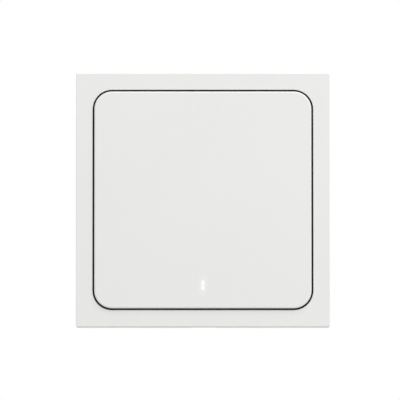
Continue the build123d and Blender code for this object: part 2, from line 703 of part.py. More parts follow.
def power_board():
    """The eight-sided board with the relay, the supply and the terminals."""
    board = slab(eight_sided(POWER_SIDE, BOX_INSIDE_CHAMFER), POWER_BACK, POWER_FRONT)
    for at in POWER_SCREWS:
        board -= post(SCREW_R + SLIDE / 2, POWER_BACK, POWER_FRONT, at)
    for group in lead_places().values():
        for at in group:
            board -= lead_rod(LEAD_R + LEAD_CLEAR, POWER_BACK, POWER_FRONT, at)
    for x in POLE_XS:
        hole = CLAMP_TAB + 2 * LEAD_CLEAR
        board -= block(hole, CLAMP_T + 2 * LEAD_CLEAR, POWER_BACK, POWER_FRONT, clamp_tab_at(x))
    return board


def power_board_screws():
    """The two screws that hold the power board on its posts."""
    return [pan_screw(POWER_FRONT + SCREW_HEAD_T, at) for at in POWER_SCREWS]


def relay():
    """The sealed relay that switches the lamp."""
    case = block(RELAY_W, RELAY_D, POWER_BACK - RELAY_H, POWER_BACK, RELAY_XY)
    case = chamfer(case.edges().group_by(Axis.Z)[0], SMALL_EDGE)
    return case + leads("relay")


def transformer_core():
    """The ferrite core: a block with a window on each side of its middle leg."""
    x, y = TRANSFORMER_XY
    low = POWER_BACK - CORE_H
    core = block(CORE_W, CORE_D, low, POWER_BACK, TRANSFORMER_XY)
    window = (CORE_W - CORE_LEG) / 2 - CORE_BACK
    for side in (-1, 1):
        at = (x + side * (CORE_LEG + window) / 2, y)
        core -= block(window, CORE_D, low + CORE_BACK, POWER_BACK - CORE_BACK, at)
    return core


def transformer_coil():
    """The winding round the core's middle leg, with its four leads."""
    low = POWER_BACK - CORE_H + CORE_BACK + COIL_CLEAR
    high = POWER_BACK - CORE_BACK - COIL_CLEAR
    hole_w = CORE_LEG + 2 * COIL_CLEAR
    hole_d = CORE_D + 2 * COIL_CLEAR
    window = (CORE_W - CORE_LEG) / 2 - CORE_BACK
    wide = CORE_LEG + 2 * (window - COIL_CLEAR)
    coil = block(wide, hole_d + 2 * COIL_WALL, low, high, TRANSFORMER_XY)
    coil = fillet(coil.edges().filter_by(Axis.Z), COIL_WALL / 2)
    coil -= block(hole_w, hole_d, low, high, TRANSFORMER_XY)
    for at in lead_places()["coil"]:
        coil += lead_rod(LEAD_R, high, POWER_FRONT + LEAD_TAIL, at)
    return coil


def bulk_capacitor():
    """The round can capacitor, standing on the board."""
    can = post(BULK_R, POWER_BACK - BULK_H, POWER_BACK, BULK_XY)
    can = chamfer(can.edges().group_by(Axis.Z)[0], SMALL_EDGE)
    return can + leads("bulk")


def film_capacitor():
    """The boxed film capacitor across the supply."""
    case = block(FILM_W, FILM_D, POWER_BACK - FILM_H, POWER_BACK, FILM_XY)
    case = chamfer(case.edges().group_by(Axis.Z)[0], SMALL_EDGE)
    return case + leads("film")


def surge_varistor():
    """The disc that takes up surges, standing on its leads."""
    x, y = VARISTOR_XY
    edge = Plane.XZ.offset(VARISTOR_T / 2 - y) * Pos(x, POWER_BACK - VARISTOR_R) * Circle(VARISTOR_R)
    disc = extrude(edge, amount=-VARISTOR_T)
    return disc + (leads("varistor") + lead_feet("varistor"))


def lead_feet(part):
    """Short stretches of lead between a round part and the power board."""
    rods = [lead_rod(LEAD_R, POWER_BACK - VARISTOR_R, POWER_BACK, at) for at in lead_places()[part]]
    return sum(rods[1:], rods[0])


def line_fuse():
    """The fuse, a small tube that lies on the board between two bent leads."""
    x, y = FUSE_XY
    height = POWER_BACK - FUSE_RISE - FUSE_R
    start = Plane.YZ.offset(x - FUSE_L / 2) * Pos(y, height)
    fuse = extrude(start * Circle(FUSE_R), amount=FUSE_L)
    wire = Plane.YZ.offset(x - FUSE_L / 2 - FUSE_R) * Pos(y, height)
    fuse += extrude(wire * RegularPolygon(LEAD_R, LEAD_SIDES), amount=FUSE_L + 2 * FUSE_R)
    for at in lead_places()["fuse"]:
        fuse += lead_rod(LEAD_R, height, POWER_FRONT + LEAD_TAIL, at)
    return fuse


def terminal_block(x):
    """The moulded block of one pole, with its wire hole at the back and its screw hole below."""
    width = POLE_PITCH - POLE_GAP
    middle = (TERMINAL_TOP + TERMINAL_BOTTOM) / 2
    body = block(width, TERMINAL_TOP - TERMINAL_BOTTOM, TERMINAL_BACK, POWER_BACK, (x, middle))
    pocket_h = CLAMP_TOP - CLAMP_BOTTOM + 2 * CLAMP_CLEAR
    pocket_at = (x, (CLAMP_TOP + CLAMP_BOTTOM) / 2)
    body -= block(CLAMP_W + 2 * CLAMP_CLEAR, pocket_h, CLAMP_BACK, POWER_BACK, pocket_at)
    body -= post(WIRE_R, TERMINAL_BACK, CLAMP_BACK, (x, WIRE_Y))
    mouth = [e for e in body.faces().sort_by(Axis.Z)[0].edges() if e.geom_type == GeomType.CIRCLE]
    body = chamfer(mouth, WIRE_FUNNEL)
    reach = CLAMP_BOTTOM - TERMINAL_BOTTOM
    hole = Plane.XZ.offset(-CLAMP_BOTTOM) * Pos(x, CLAMP_BACK + CLAMP_L / 2) * Circle(DRIVER_R)
    return body - extrude(hole, amount=reach)


def terminal_clamp(x):
    """The brass cage that grips the wire, with its nut end below and its solder tab on top."""
    middle = (CLAMP_TOP + CLAMP_BOTTOM) / 2
    low = CLAMP_BACK
    high = CLAMP_BACK + CLAMP_L
    cage = block(CLAMP_W, CLAMP_TOP - CLAMP_BOTTOM, low, high, (x, middle))
    room_top = CLAMP_TOP - CLAMP_T
    room_bottom = CLAMP_BOTTOM + CLAMP_NUT
    room_at = (x, (room_top + room_bottom) / 2)
    cage -= block(CLAMP_W - 2 * CLAMP_T, room_top - room_bottom, low, high, room_at)
    hole = Plane.XZ.offset(-room_bottom) * Pos(x, low + CLAMP_L / 2)
    cage -= extrude(hole * Circle(CLAMP_SCREW_R + THREAD_CLEAR), amount=CLAMP_NUT)
    return cage + block(CLAMP_TAB, CLAMP_T, high, POWER_FRONT + LEAD_TAIL, clamp_tab_at(x))


def terminal_screws():
    """The three clamp screws, with slotted heads that face down."""
    screws = []
    for x in POLE_XS:
        foot = Plane.XZ.offset(-CLAMP_SCREW_TIP) * Pos(x, CLAMP_BACK + CLAMP_L / 2)
        head_at = Plane.XZ.offset(-CLAMP_BOTTOM) * Pos(x, CLAMP_BACK + CLAMP_L / 2)
        slot_at = Plane.XZ.offset(CLAMP_HEAD_T / 2 - CLAMP_BOTTOM) * Pos(x, CLAMP_BACK + CLAMP_L / 2)
        screw = extrude(foot * Circle(CLAMP_SCREW_R), amount=CLAMP_SCREW_TIP - CLAMP_BOTTOM)
        screw += extrude(head_at * Circle(CLAMP_HEAD_R), amount=CLAMP_HEAD_T)
        slot = slot_at * Rectangle(2 * CLAMP_HEAD_R, DRIVER_SLOT)
        screws.append(screw - extrude(slot, amount=CLAMP_HEAD_T))
    return screws


def all_pieces():
    """Every piece by the name of its node."""
    pieces = {
        "front_frame": front_frame(),
        "push_key": push_key(),
        "indicator_lens": indicator_lens(),
        "key_carrier": key_carrier(),
        "carrier_screws": carrier_screws(),
        "return_spring_left": return_spring(-1),
        "return_spring_right": return_spring(1),
        "control_board": control_board(),
        "tact_switch_body": tact_switch_body(),
        "tact_switch_stem": tact_switch_stem(),
        "status_led": status_led(),
        "radio_board": radio_board(),
        "radio_shield": radio_shield(),
        "connector_plug": connector_plug(),
        "connector_pins": connector_pins(),
        "connector_socket": connector_socket(),
        "power_board": power_board(),
        "power_board_screws": power_board_screws(),
        "relay": relay(),
        "transformer_core": transformer_core(),
        "transformer_coil": transformer_coil(),
        "bulk_capacitor": bulk_capacitor(),
        "film_capacitor": film_capacitor(),
        "surge_varistor": surge_varistor(),
        "line_fuse": line_fuse(),
        "terminal_screws": terminal_screws(),
        "mounting_plate": mounting_plate(),
        "rear_box": rear_box(),
    }
    for name, x in zip(("left", "middle", "right"), POLE_XS):
        pieces[f"terminal_block_{name}"] = terminal_block(x)
        pieces[f"terminal_clamp_{name}"] = terminal_clamp(x)
    return pieces


def stand_up(piece):
    """Turns a finished piece, or a group of like pieces, so that Z is up and the room is at -Y."""
    solids = piece if isinstance(piece, list) else [piece]
    turned = [solid.rotate(Axis.X, 90) for s in solids for solid in s.solids()]
    return turned[0] if len(turned) == 1 else Compound(children=turned)


os.makedirs("parts", exist_ok=True)
for node, piece in all_pieces().items():
    export_step(stand_up(piece), f"parts/{node}.step")
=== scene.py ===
"""Looks of a smart light switch: one large white key in a square white frame, with a small lit bar.

Lengths are metres in the frame of the solids. X runs to the right, Z runs up the wall, the wall's
face is at Y = 0 and the room lies towards -Y. A shape that is repeated is drawn about its own Z
axis first, and is turned to face the room, the wall or the floor before it is set in place.
"""

import logging
import math
import random
from abc import ABC, abstractmethod
from collections.abc import Sequence
from dataclasses import dataclass
from enum import Enum
from functools import cache

import bmesh
import bpy
from mathutils import Matrix, Vector


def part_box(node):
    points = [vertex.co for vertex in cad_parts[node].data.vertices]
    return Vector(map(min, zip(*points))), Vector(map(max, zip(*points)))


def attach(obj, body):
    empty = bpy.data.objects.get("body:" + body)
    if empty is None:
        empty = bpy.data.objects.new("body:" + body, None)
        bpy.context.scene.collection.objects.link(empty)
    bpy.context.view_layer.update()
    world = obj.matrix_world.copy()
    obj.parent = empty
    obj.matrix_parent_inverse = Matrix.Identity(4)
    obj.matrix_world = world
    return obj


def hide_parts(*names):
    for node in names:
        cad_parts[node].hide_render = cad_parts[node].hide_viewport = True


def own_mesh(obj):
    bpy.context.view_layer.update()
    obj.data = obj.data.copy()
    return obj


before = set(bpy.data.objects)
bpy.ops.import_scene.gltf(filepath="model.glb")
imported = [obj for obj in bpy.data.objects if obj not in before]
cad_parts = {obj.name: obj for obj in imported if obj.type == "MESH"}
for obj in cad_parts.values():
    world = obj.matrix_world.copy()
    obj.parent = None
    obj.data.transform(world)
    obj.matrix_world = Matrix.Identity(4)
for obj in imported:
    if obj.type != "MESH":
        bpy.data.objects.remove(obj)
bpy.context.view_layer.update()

LOG = logging.getLogger("light_switch")
MM = 0.001
MICRON = 0.000001
BASE = "base"

Span = tuple[float, float]
Colour = tuple[float, float, float]
Place = tuple[float, float, float]
Inputs = dict[str | int, object]
Socket = bpy.types.NodeSocket
Ring = Sequence[bmesh.types.BMVert]
# Places that are in use, each with the room that it needs.
Taken = list[tuple[Vector, float]]

WHITE: Colour = (1.0, 1.0, 1.0)
TIN_COLOUR: Colour = (0.62, 0.62, 0.6)
TIN_ROUGHNESS = 0.35
LEAD_BLEND = 0.05 * MM
# Most of a noise lies in this range.
NOISE_SPAN: Span = (0.3, 0.7)


class Slot(Enum):
    """Material slots of the record for new pieces, which the script passes along but does not use."""

    STEEL = "steel"
    SPRING = "spring_steel"
    TIN = "tin_plate"
    CHIP = "relay_case"
    HOUSING = "dark_plastic"


class Drive(Enum):
    """Recesses of a screw head: the reach of its two crossed bars, as shares of the head's radius."""

    CROSS = (0.56, 0.56)
    SLOT_AND_CROSS = (1.2, 0.58)


class Kind(Enum):
    """Kinds of input that a Geometry Nodes tree can have."""

    NUMBER = "NodeSocketFloat"
    COUNT = "NodeSocketInt"
    VECTOR = "NodeSocketVector"
    OBJECT = "NodeSocketObject"
    MATERIAL = "NodeSocketMaterial"


class Facing(Enum):
    """Ways that a shape can be turned from its own Z axis, as degrees about X."""

    ROOM = 90
    WALL = -90
    FLOOR = 180

    @property
    def turn(self) -> Matrix:
        """Give the turn as a matrix."""
        return Matrix.Rotation(math.radians(self.value), 4, "X")

    @property
    def axis(self) -> Place:
        """Give the axis that turned copies spin about."""
        return (0.0, 0.0, -1.0) if self is Facing.FLOOR else (0.0, -1.0, 0.0)


def tinted(colour: Colour, factor: float) -> Colour:
    """Make a colour lighter or darker by a factor."""
    return tuple(min(1.0, part * factor) for part in colour)


class NodeBench:
    """Adds nodes to one tree and feeds their sockets."""

    def __init__(self, tree: bpy.types.NodeTree) -> None:
        """Work on this tree."""
        self.tree = tree

    def feed(self, socket: Socket, value: object) -> None:
        """Give an input socket a link or a plain value.

        Args:
            socket: The input to feed.
            value: Another node's output, a number, a vector or a colour.
        """
        if isinstance(value, bpy.types.NodeSocket):
            self.tree.links.new(value, socket)
        elif socket.type == "RGBA":
            socket.default_value = (*value[:3], 1.0)
        else:
            socket.default_value = value

    def add(self, kind: str, inputs: Inputs | None = None, **settings: object) -> bpy.types.Node:
        """Add a node to the tree.

        Args:
            kind: Blender's name for the node's type.
            inputs: What to feed to its sockets, by name or number.
            **settings: Properties of the node, set before its sockets are fed.

        Returns:
            The new node.
        """
        node = self.tree.nodes.new(kind)
        for name, setting in settings.items():
            setattr(node, name, setting)
        for name, value in (inputs or {}).items():
            self.feed(node.inputs[name], value)
        return node

    def maths(self, operation: str, first: object, second: object = 0.0) -> Socket:
        """Do one sum on two numbers or sockets and return its result."""
        return self.add("ShaderNodeMath", {0: first, 1: second}, operation=operation).outputs[0]


class Shading(NodeBench):
    """A material's nodes round one Principled shader, placed by Object coordinates."""

    def __init__(self, name: str) -> None:
        """Start a material.

        Args:
            name: Name of the material.
        """
        self.material = bpy.data.materials.new(name)
        self.material.use_nodes = True
        super().__init__(self.material.node_tree)
        self.shader = self.tree.nodes["Principled BSDF"]
        texture = self.add("ShaderNodeTexCoord")
        self.place = texture.outputs["Object"]
        self.facing = texture.outputs["Normal"]

    def dress(self, inputs: Inputs) -> None:
        """Feed the shader's sockets by name."""
        for name, value in inputs.items():
            self.feed(self.shader.inputs[name], value)

    def noise(self, size: float, detail: float = 2.0, at: Socket | None = None) -> Socket:
        """Make a noise.

        Args:
            size: Width of one patch of it.
            detail: How many finer noises it carries.
            at: Where it is read, or nothing for the Object coordinates.

        Returns:
            Its value, about one half on the whole.
        """
        inputs = {"Vector": at or self.place, "Scale": 1.0 / size, "Detail": detail}
        return self.add("ShaderNodeTexNoise", inputs).outputs[0]

    def attribute(self, name: str) -> Socket:
        """Read a number that the piece's mesh carries."""
        return self.add("ShaderNodeAttribute", attribute_name=name).outputs["Fac"]

    def axes(self, vector: Socket | None = None) -> tuple[Socket, Socket, Socket]:
        """Split a vector, or else the Object coordinates, into X, Y and Z."""
        node = self.add("ShaderNodeSeparateXYZ", {0: vector or self.place})
        return tuple(node.outputs)

    def length(self, vector: Socket) -> Socket:
        """Measure the length of a vector."""
        return self.add("ShaderNodeVectorMath", {0: vector}, operation="LENGTH").outputs["Value"]

    def about(self, centre: Place) -> Socket:
        """Measure the Object coordinates from another centre."""
        inputs = {"Vector": self.place, "Location": -Vector(centre)}
        return self.add("ShaderNodeMapping", inputs).outputs[0]

    def spread(self, value: Socket, source: Span, target: Span) -> Socket:
        """Stretch one range of a value to another, and hold it at the ends.

        Args:
            value: The value to stretch.
            source: The range that it is read in.
            target: The range that it becomes.

        Returns:
            The stretched value.
        """
        inputs = {0: value, 1: source[0], 2: source[1], 3: target[0], 4: target[1]}
        return self.add("ShaderNodeMapRange", inputs).outputs[0]

    def between(self, noise: Socket, ends: Span) -> Socket:
        """Stretch a noise to run from one end to the other."""
        return self.spread(noise, NOISE_SPAN, ends)

    def disc(self, across: Socket, up: Socket, radius: float) -> Socket:
        """Mark a round disc about zero."""
        squares = [self.maths("MULTIPLY", away, away) for away in (across, up)]
        return self.maths("LESS_THAN", self.maths("ADD", *squares), radius**2)

    def edgewise(self, tilt: float = 0.5) -> Socket:
        """Mark the faces that look along the wall, up to a tilt towards the room or the wall."""
        _, facing, _ = self.axes(self.facing)
        return self.maths("LESS_THAN", self.maths("ABSOLUTE", facing), tilt)

    def mix(self, share: Socket, first: object, second: object) -> Socket:
        """Blend two colours, or two numbers.

        Args:
            share: Zero for the first, one for the second.
            first: A colour, a number or a socket.
            second: A plain colour or number.

        Returns:
            The blend.
        """
        if isinstance(second, float):
            return self.add("ShaderNodeMix", {0: share, 2: first, 3: second}).outputs[0]
        inputs = {0: share, 6: first, 7: second}
        return self.add("ShaderNodeMix", inputs, data_type="RGBA").outputs[2]

    def mottled(self, pattern: Socket, colour: Colour, share: float) -> Socket:
        """Make a colour darker and lighter by a share, as a pattern says."""
        return self.mix(pattern, tinted(colour, 1 - share), tinted(colour, 1 + share))

    def relief(self, height: Socket, depth: float) -> None:
        """Raise the surface by a pattern of this depth."""
        bump = self.add("ShaderNodeBump", {"Height": height, "Distance": depth})
        self.feed(self.shader.inputs["Normal"], bump.outputs[0])

    def skin(self, colour: Socket, rough: Span, pattern: Socket, depth: float) -> None:
        """Lay a surface whose roughness and relief follow one pattern."""
        self.dress({"Base Color": colour, "Roughness": self.between(pattern, rough)})
        self.relief(pattern, depth)

    def layer(self, mask: Socket, colour: Colour, metallic: float, roughness: float) -> None:
        """Lay a plain surface over the present one.

        Args:
            mask: One where the new surface shows, and zero elsewhere.
            colour: Its colour.
            metallic: How far it is metal.
            roughness: Its roughness.
        """
        over = {"Base Color": colour, "Metallic": metallic, "Roughness": roughness}
        for name, value in over.items():
            socket = self.shader.inputs[name]
            present = socket.links[0].from_socket if socket.is_linked else socket.default_value
            self.feed(socket, self.mix(mask, present, value))

    def tin(self, mask: Socket, roughness: float = TIN_ROUGHNESS) -> None:
        """Lay tin over the present surface where a mask is one."""
        self.layer(mask, TIN_COLOUR, 1.0, roughness)

    def bare_leads(self, front: float) -> None:
        """Lay tin on the leads, which are all that the piece has in front of a place on Y."""
        _, depth, _ = self.axes()
        self.tin(self.spread(depth, (front - LEAD_BLEND, front), (1.0, 0.0)))


@dataclass(frozen=True)
class Finish(ABC):
    """A named material, which each kind of finish lays in its own way.

    Attributes:
        name: Name of the material.
    """

    name: str

    @abstractmethod
    def lay(self, shading: Shading) -> None:
        """Lay the surface with these nodes."""

    def material(self) -> bpy.types.Material:
        """Make the material.

        Returns:
            The new material.
        """
        shading = Shading(self.name)
        self.lay(shading)
        return shading.material


@cache
def coat(finish: Finish) -> bpy.types.Material:
    """Make a finish's material once, and give the same one each time."""
    return finish.material()


def paint(finish: Finish, *nodes: str) -> None:
    """Give solids of the frame a finish.

    Args:
        finish: The finish.
        *nodes: Names of the solids.
    """
    for node in nodes:
        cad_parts[node].material_slots[0].material = coat(finish)
        LOG.info("%s dressed in %s", node, coat(finish).name)


@dataclass(frozen=True)
class MouldedPlastic(Finish):
    """Moulded plastic, with the grain of the mould's skin and soft clouds of tone from its flow.

    Attributes:
        colour: Mean colour.
        roughness: Mean roughness.
        grain: Width of one grain.
        depth: Height of the grain.
        cloud: Width of a cloud of tone.
        mottle: Share by which the clouds change the colour.
        swing: Share by which the grain changes the roughness.
        leads: Y in front of which the piece is tinned wire, or nothing for no leads.
    """

    colour: Colour
    roughness: float = 0.42
    grain: float = 0.3 * MM
    depth: float = 6 * MICRON
    cloud: float = 12 * MM
    mottle: float = 0.03
    swing: float = 0.12
    leads: float | None = None

    def lay(self, shading: Shading) -> None:
        """Lay the plastic, and tin on any leads.

        Args:
            shading: The nodes to lay them with.
        """
        clouds = shading.between(shading.noise(self.cloud, detail=3.0), (0.0, 1.0))
        grain = shading.noise(self.grain, detail=3.0)
        rough = (self.roughness * (1 - self.swing), self.roughness * (1 + self.swing))
        shading.skin(shading.mottled(clouds, self.colour, self.mottle), rough, grain, self.depth)
        if self.leads is not None:
            shading.bare_leads(self.leads)


@dataclass(frozen=True)
class PaintedShadeMouth(MouldedPlastic):
    """Moulded plastic whose opening's wall is painted black as shade, so the line round the key stays
    dark.

    Attributes:
        mouth: Half of the width that holds the opening and its wall.
        wall: Colour of the painted shade on the opening's wall.
    """

    mouth: float = 0.0
    wall: Colour = (0.02, 0.02, 0.02)

    def lay(self, shading: Shading) -> None:
        """Lay the plastic and the painted shade on the opening's wall.

        Args:
            shading: The nodes to lay them with.
        """
        super().lay(shading)
        # Painted shade: the faces of the opening's wall that look along the wall are made near black.
        across, _, up = shading.axes()
        sides = [shading.maths("ABSOLUTE", away) for away in (across, up)]
        within = shading.maths("LESS_THAN", shading.maths("MAXIMUM", *sides), self.mouth)
        painted_shade_mask = shading.maths("MULTIPLY", within, shading.edgewise())
        shading.layer(painted_shade_mask, self.wall, metallic=0.0, roughness=0.5)


@dataclass(frozen=True)
class GlowingPlastic(MouldedPlastic):
    """Moulded plastic with a painted glow near a lamp close behind it, for light that leaks through it.

    Attributes:
        lamp: Middle of the lamp's bar.
        half_bar: Half of the bar's height.
        reach: How far from it the painted glow reaches.
        glow: Strength of the painted glow beside the bar.
    """

    lamp: Place = (0.0, 0.0, 0.0)
    half_bar: float = 0.0
    reach: float = 2.2 * MM
    glow: float = 0.04

    def lay(self, shading: Shading) -> None:
        """Lay the plastic and the painted glow.

        Args:
            shading: The nodes to lay them with.
        """
        super().lay(shading)
        # Painted glow: the key gives off a little light beside the bar, though it is no lamp.
        across, _, up = shading.axes(shading.about(self.lamp))
        beyond = shading.maths("SUBTRACT", shading.maths("ABSOLUTE", up), self.half_bar)
        aside = shading.add("ShaderNodeCombineXYZ", {0: across, 2: shading.maths("MAXIMUM", beyond)})
        near = shading.spread(shading.length(aside.outputs[0]), (self.reach, 0.0), (0.0, self.glow))
        shading.dress({"Emission Color": WHITE, "Emission Strength": near})


@dataclass(frozen=True)
class LitGuide(Finish):
    """Milky light guide, lit from behind by two small lamps, brightest along its middle.

    Attributes:
        centre: Middle of the lit bar.
        half_width: Half of its width.
        half_height: Half of its height.
        lamps: How far each lamp is from the middle, up and down.
        core: Strength of the light at a lamp.
        edge: Strength of the light at the rim.
        full: Share of a lamp's nearness from which the light is at its strongest.
        colour: Colour of the guide itself.
    """

    centre: Place
    half_width: float
    half_height: float
    lamps: float = 0.85 * MM
    core: float = 0.21
    edge: float = 0.12
    full: float = 0.6
    colour: Colour = (0.8, 0.8, 0.8)

    def lay(self, shading: Shading) -> None:
        """Lay the guide and its light.

        Args:
            shading: The nodes to lay them with.
        """
        across, _, up = shading.axes(shading.about(self.centre))
        side = shading.maths("ABSOLUTE", across)
        height = shading.maths("ABSOLUTE", up)
        from_lamp = shading.maths("ABSOLUTE", shading.maths("SUBTRACT", height, self.lamps))
        middle = shading.spread(side, (self.half_width, 0.0), (0.0, 1.0))
        along = shading.spread(from_lamp, (self.half_height - self.lamps, 0.0), (0.0, 1.0))
        light = shading.maths("MULTIPLY", middle, along)
        grain = shading.noise(size=0.2 * MM)
        shading.dress(
            {
                "Base Color": self.colour,
                "Roughness": shading.between(grain, ends=(0.2, 0.3)),
                "Emission Color": WHITE,
                "Emission Strength": shading.spread(light, (0.0, self.full), (self.edge, self.core)),
            }
        )


@dataclass(frozen=True)
class PlatedMetal(Finish):
    """Metal with a thin plating, in patches that are a little duller.

    Attributes:
        colour: Colour where it is bright.
        dull: Colour of the duller patches.
        roughness: Roughness where it is bright.
        patch: Width of a patch.
        dulling: Range of the patches' noise in which bright turns to dull.
        wear: How many times rougher the dull patches are.
        grain: Width of the fine marks.
    """

    colour: Colour
    dull: Colour
    roughness: float = 0.28
    patch: float = 2.2 * MM
    dulling: Span = (0.4, 0.68)
    wear: float = 1.5
    grain: float = 0.12 * MM

    def lay(self, shading: Shading) -> None:
        """Lay the plating.

        Args:
            shading: The nodes to lay it with.
        """
        patches = shading.spread(shading.noise(self.patch, detail=4.0), self.dulling, (0.0, 1.0))
        rough = (self.roughness, self.roughness * self.wear)
        shading.dress(
            {
                "Base Color": shading.mix(patches, self.colour, self.dull),
                "Metallic": 1.0,
                "Roughness": shading.spread(patches, (0.0, 1.0), rough),
            }
        )
        shading.relief(shading.noise(self.grain), depth=2 * MICRON)


ZINC = PlatedMetal("zinc_plate", colour=(0.6, 0.6, 0.58), dull=(0.46, 0.46, 0.47))
TIN = PlatedMetal(
    "tin_plate_skin",
    colour=(0.64, 0.64, 0.62),
    dull=(0.5, 0.5, 0.5),
    roughness=0.34,
    patch=1.5 * MM,
)
SOLDER = PlatedMetal(
    "solder_skin",
    colour=(0.6, 0.6, 0.6),
    dull=(0.42, 0.42, 0.43),
    roughness=0.3,
    patch=0.8 * MM,
)
BRASS = PlatedMetal(
    "bare_brass",
    colour=(0.72, 0.53, 0.25),
    dull=(0.5, 0.34, 0.15),
    roughness=0.26,
    patch=2.5 * MM,
)


@dataclass(frozen=True)
class DrawnWire(Finish):
    """Bright spring wire, with the fine lines that the drawing die leaves along it.

    Attributes:
        colour: Colour of the wire.
        lines: Number of lines round the wire.
    """

    colour: Colour = (0.5, 0.5, 0.5)
    lines: float = 26.0

    def lay(self, shading: Shading) -> None:
        """Lay the bright metal and its lines.

        Args:
            shading: The nodes to lay them with.
        """
        round_wire = shading.maths("MULTIPLY", shading.attribute("around"), self.lines)
        unrolled = {0: round_wire, 1: shading.attribute("along")}
        lines = shading.noise(1.0, at=shading.add("ShaderNodeCombineXYZ", unrolled).outputs[0])
        colour = shading.mottled(lines, self.colour, share=0.2)
        shading.skin(colour, rough=(0.2, 0.34), pattern=lines, depth=4 * MICRON)
        shading.dress({"Metallic": 1.0})


@dataclass(frozen=True)
class PrintedBoard(Finish):
    """Solder mask over copper tracks, with tinned holes and bare glass fibre at the cut edges.

    Attributes:
        mask: Colour of the mask over bare board.
        track: Colour of the mask over copper.
        fibre: Colour of the cut edge.
        pitch: From one track to the next.
        cell: Width of a patch in which the tracks run one way.
        upright: Share of the patches whose tracks are upright.
        tracked: Share of the patches that have tracks, where the others are all copper.
        hole: Radius of a tinned hole.
    """

    mask: Colour = (0.012, 0.1, 0.045)
    track: Colour = (0.03, 0.2, 0.09)
    fibre: Colour = (0.42, 0.36, 0.17)
    pitch: float = 1.1 * MM
    cell: float = 6.6 * MM
    upright: float = 0.42
    tracked: float = 0.8
    hole: float = 0.32 * MM

    def lay(self, shading: Shading) -> None:
        """Lay the mask, the tinned holes and the cut edges.

        Args:
            shading: The nodes to lay them with.
        """
        across, _, up = shading.axes()
        patch = {0: shading.place, 1: (self.cell, 1.0, self.cell)}
        corner = shading.add("ShaderNodeVectorMath", patch, operation="SNAP").outputs[0]
        chance = shading.add("ShaderNodeTexWhiteNoise", {"Vector": corner}).outputs["Value"]
        upright = shading.maths("LESS_THAN", chance, self.upright)
        solid = shading.maths("GREATER_THAN", chance, self.tracked)
        rows = shading.mix(upright, self.tracks(shading, up), 0.0)
        columns = shading.maths("MULTIPLY", upright, self.tracks(shading, across))
        copper = shading.maths("MAXIMUM", shading.maths("MAXIMUM", rows, columns), solid)
        shading.dress({"Base Color": shading.mix(copper, self.mask, self.track), "Roughness": 0.3})
        aside, above = (shading.maths("PINGPONG", place, self.cell / 4) for place in (across, up))
        shading.tin(shading.disc(aside, above, self.hole))
        shading.layer(shading.edgewise(), self.fibre, metallic=0.0, roughness=0.7)
        shading.relief(copper, depth=25 * MICRON)

    def tracks(self, shading: Shading, place: Socket) -> Socket:
        """Draw evenly spaced tracks across one axis."""
        half_width = (0.2 * self.pitch, 0.24 * self.pitch)
        return shading.spread(shading.maths("PINGPONG", place, self.pitch / 2), half_width, (1.0, 0.0))


@dataclass(frozen=True)
class WoundTape(Finish):
    """Clear yellow tape wound over copper wire, with an edge at each turn of the tape.

    Attributes:
        leads: Y in front of which the piece is tinned wire.
        tape: Colour of the tape.
        copper: Colour where the wire shows through.
        width: Width of one turn of the tape.
        edge: Width of the tape's edge.
        wire: Thickness of the wire under it.
    """

    leads: float
    tape: Colour = (0.62, 0.48, 0.06)
    copper: Colour = (0.45, 0.24, 0.05)
    width: float = 2.4 * MM
    edge: float = 0.05 * MM
    wire: float = 0.3 * MM

    def lay(self, shading: Shading) -> None:
        """Lay the tape over the wire, and tin on the leads.

        Args:
            shading: The nodes to lay them with.
        """
        _, depth, _ = shading.axes()
        within_turn = shading.maths("PINGPONG", depth, self.wire / 2)
        turns = shading.spread(within_turn, (0.0, self.wire / 2), (0.0, 1.0))
        within_tape = shading.maths("PINGPONG", depth, self.width / 2)
        edges = shading.spread(within_tape, (0.0, self.edge), (1.0, 0.0))
        seen = shading.maths("MULTIPLY", turns, shading.noise(size=3 * MM))
        colour = shading.mix(seen, self.tape, self.copper)
        colour = shading.mix(edges, colour, tinted(self.tape, factor=0.6))
        shading.dress({"Base Color": colour, "Roughness": 0.24})
        shading.relief(shading.maths("SUBTRACT", turns, edges), depth=20 * MICRON)
        shading.bare_leads(self.leads)


@dataclass(frozen=True)
class SleevedCan(Finish):
    """Aluminium can in a shrunk sleeve, with a plain lighter stripe down one side.

    Attributes:
        axis: Middle of the can.
        end: Y behind which the can's end is bare.
        radius: Radius of the bare end.
        leads: Y in front of which the piece is tinned wire.
        sleeve: Colour of the sleeve.
        stripe: Colour of the stripe.
        half_stripe: Half of the angle that the stripe covers.
        bare: Colour of the bare end.
    """

    axis: Place
    end: float
    radius: float
    leads: float
    sleeve: Colour = (0.03, 0.032, 0.05)
    stripe: Colour = (0.32, 0.33, 0.36)
    half_stripe: float = 0.42
    bare: Colour = (0.7, 0.7, 0.7)

    def lay(self, shading: Shading) -> None:
        """Lay the sleeve, the bare end and tin on the leads.

        Args:
            shading: The nodes to lay them with.
        """
        across, _, up = shading.axes(shading.about(self.axis))
        _, depth, _ = shading.axes()
        angle = shading.maths("ABSOLUTE", shading.maths("ARCTAN2", up, across))
        side = shading.maths("LESS_THAN", angle, self.half_stripe)
        colour = shading.mix(side, self.sleeve, self.stripe)
        wrinkles = shading.noise(size=0.6 * MM, detail=3.0)
        shading.skin(colour, rough=(0.26, 0.36), pattern=wrinkles, depth=12 * MICRON)
        behind = shading.maths("GREATER_THAN", depth, self.end)
        end = shading.maths("MULTIPLY", shading.disc(across, up, self.radius), behind)
        shading.layer(end, self.bare, metallic=1.0, roughness=0.3)
        shading.bare_leads(self.leads)


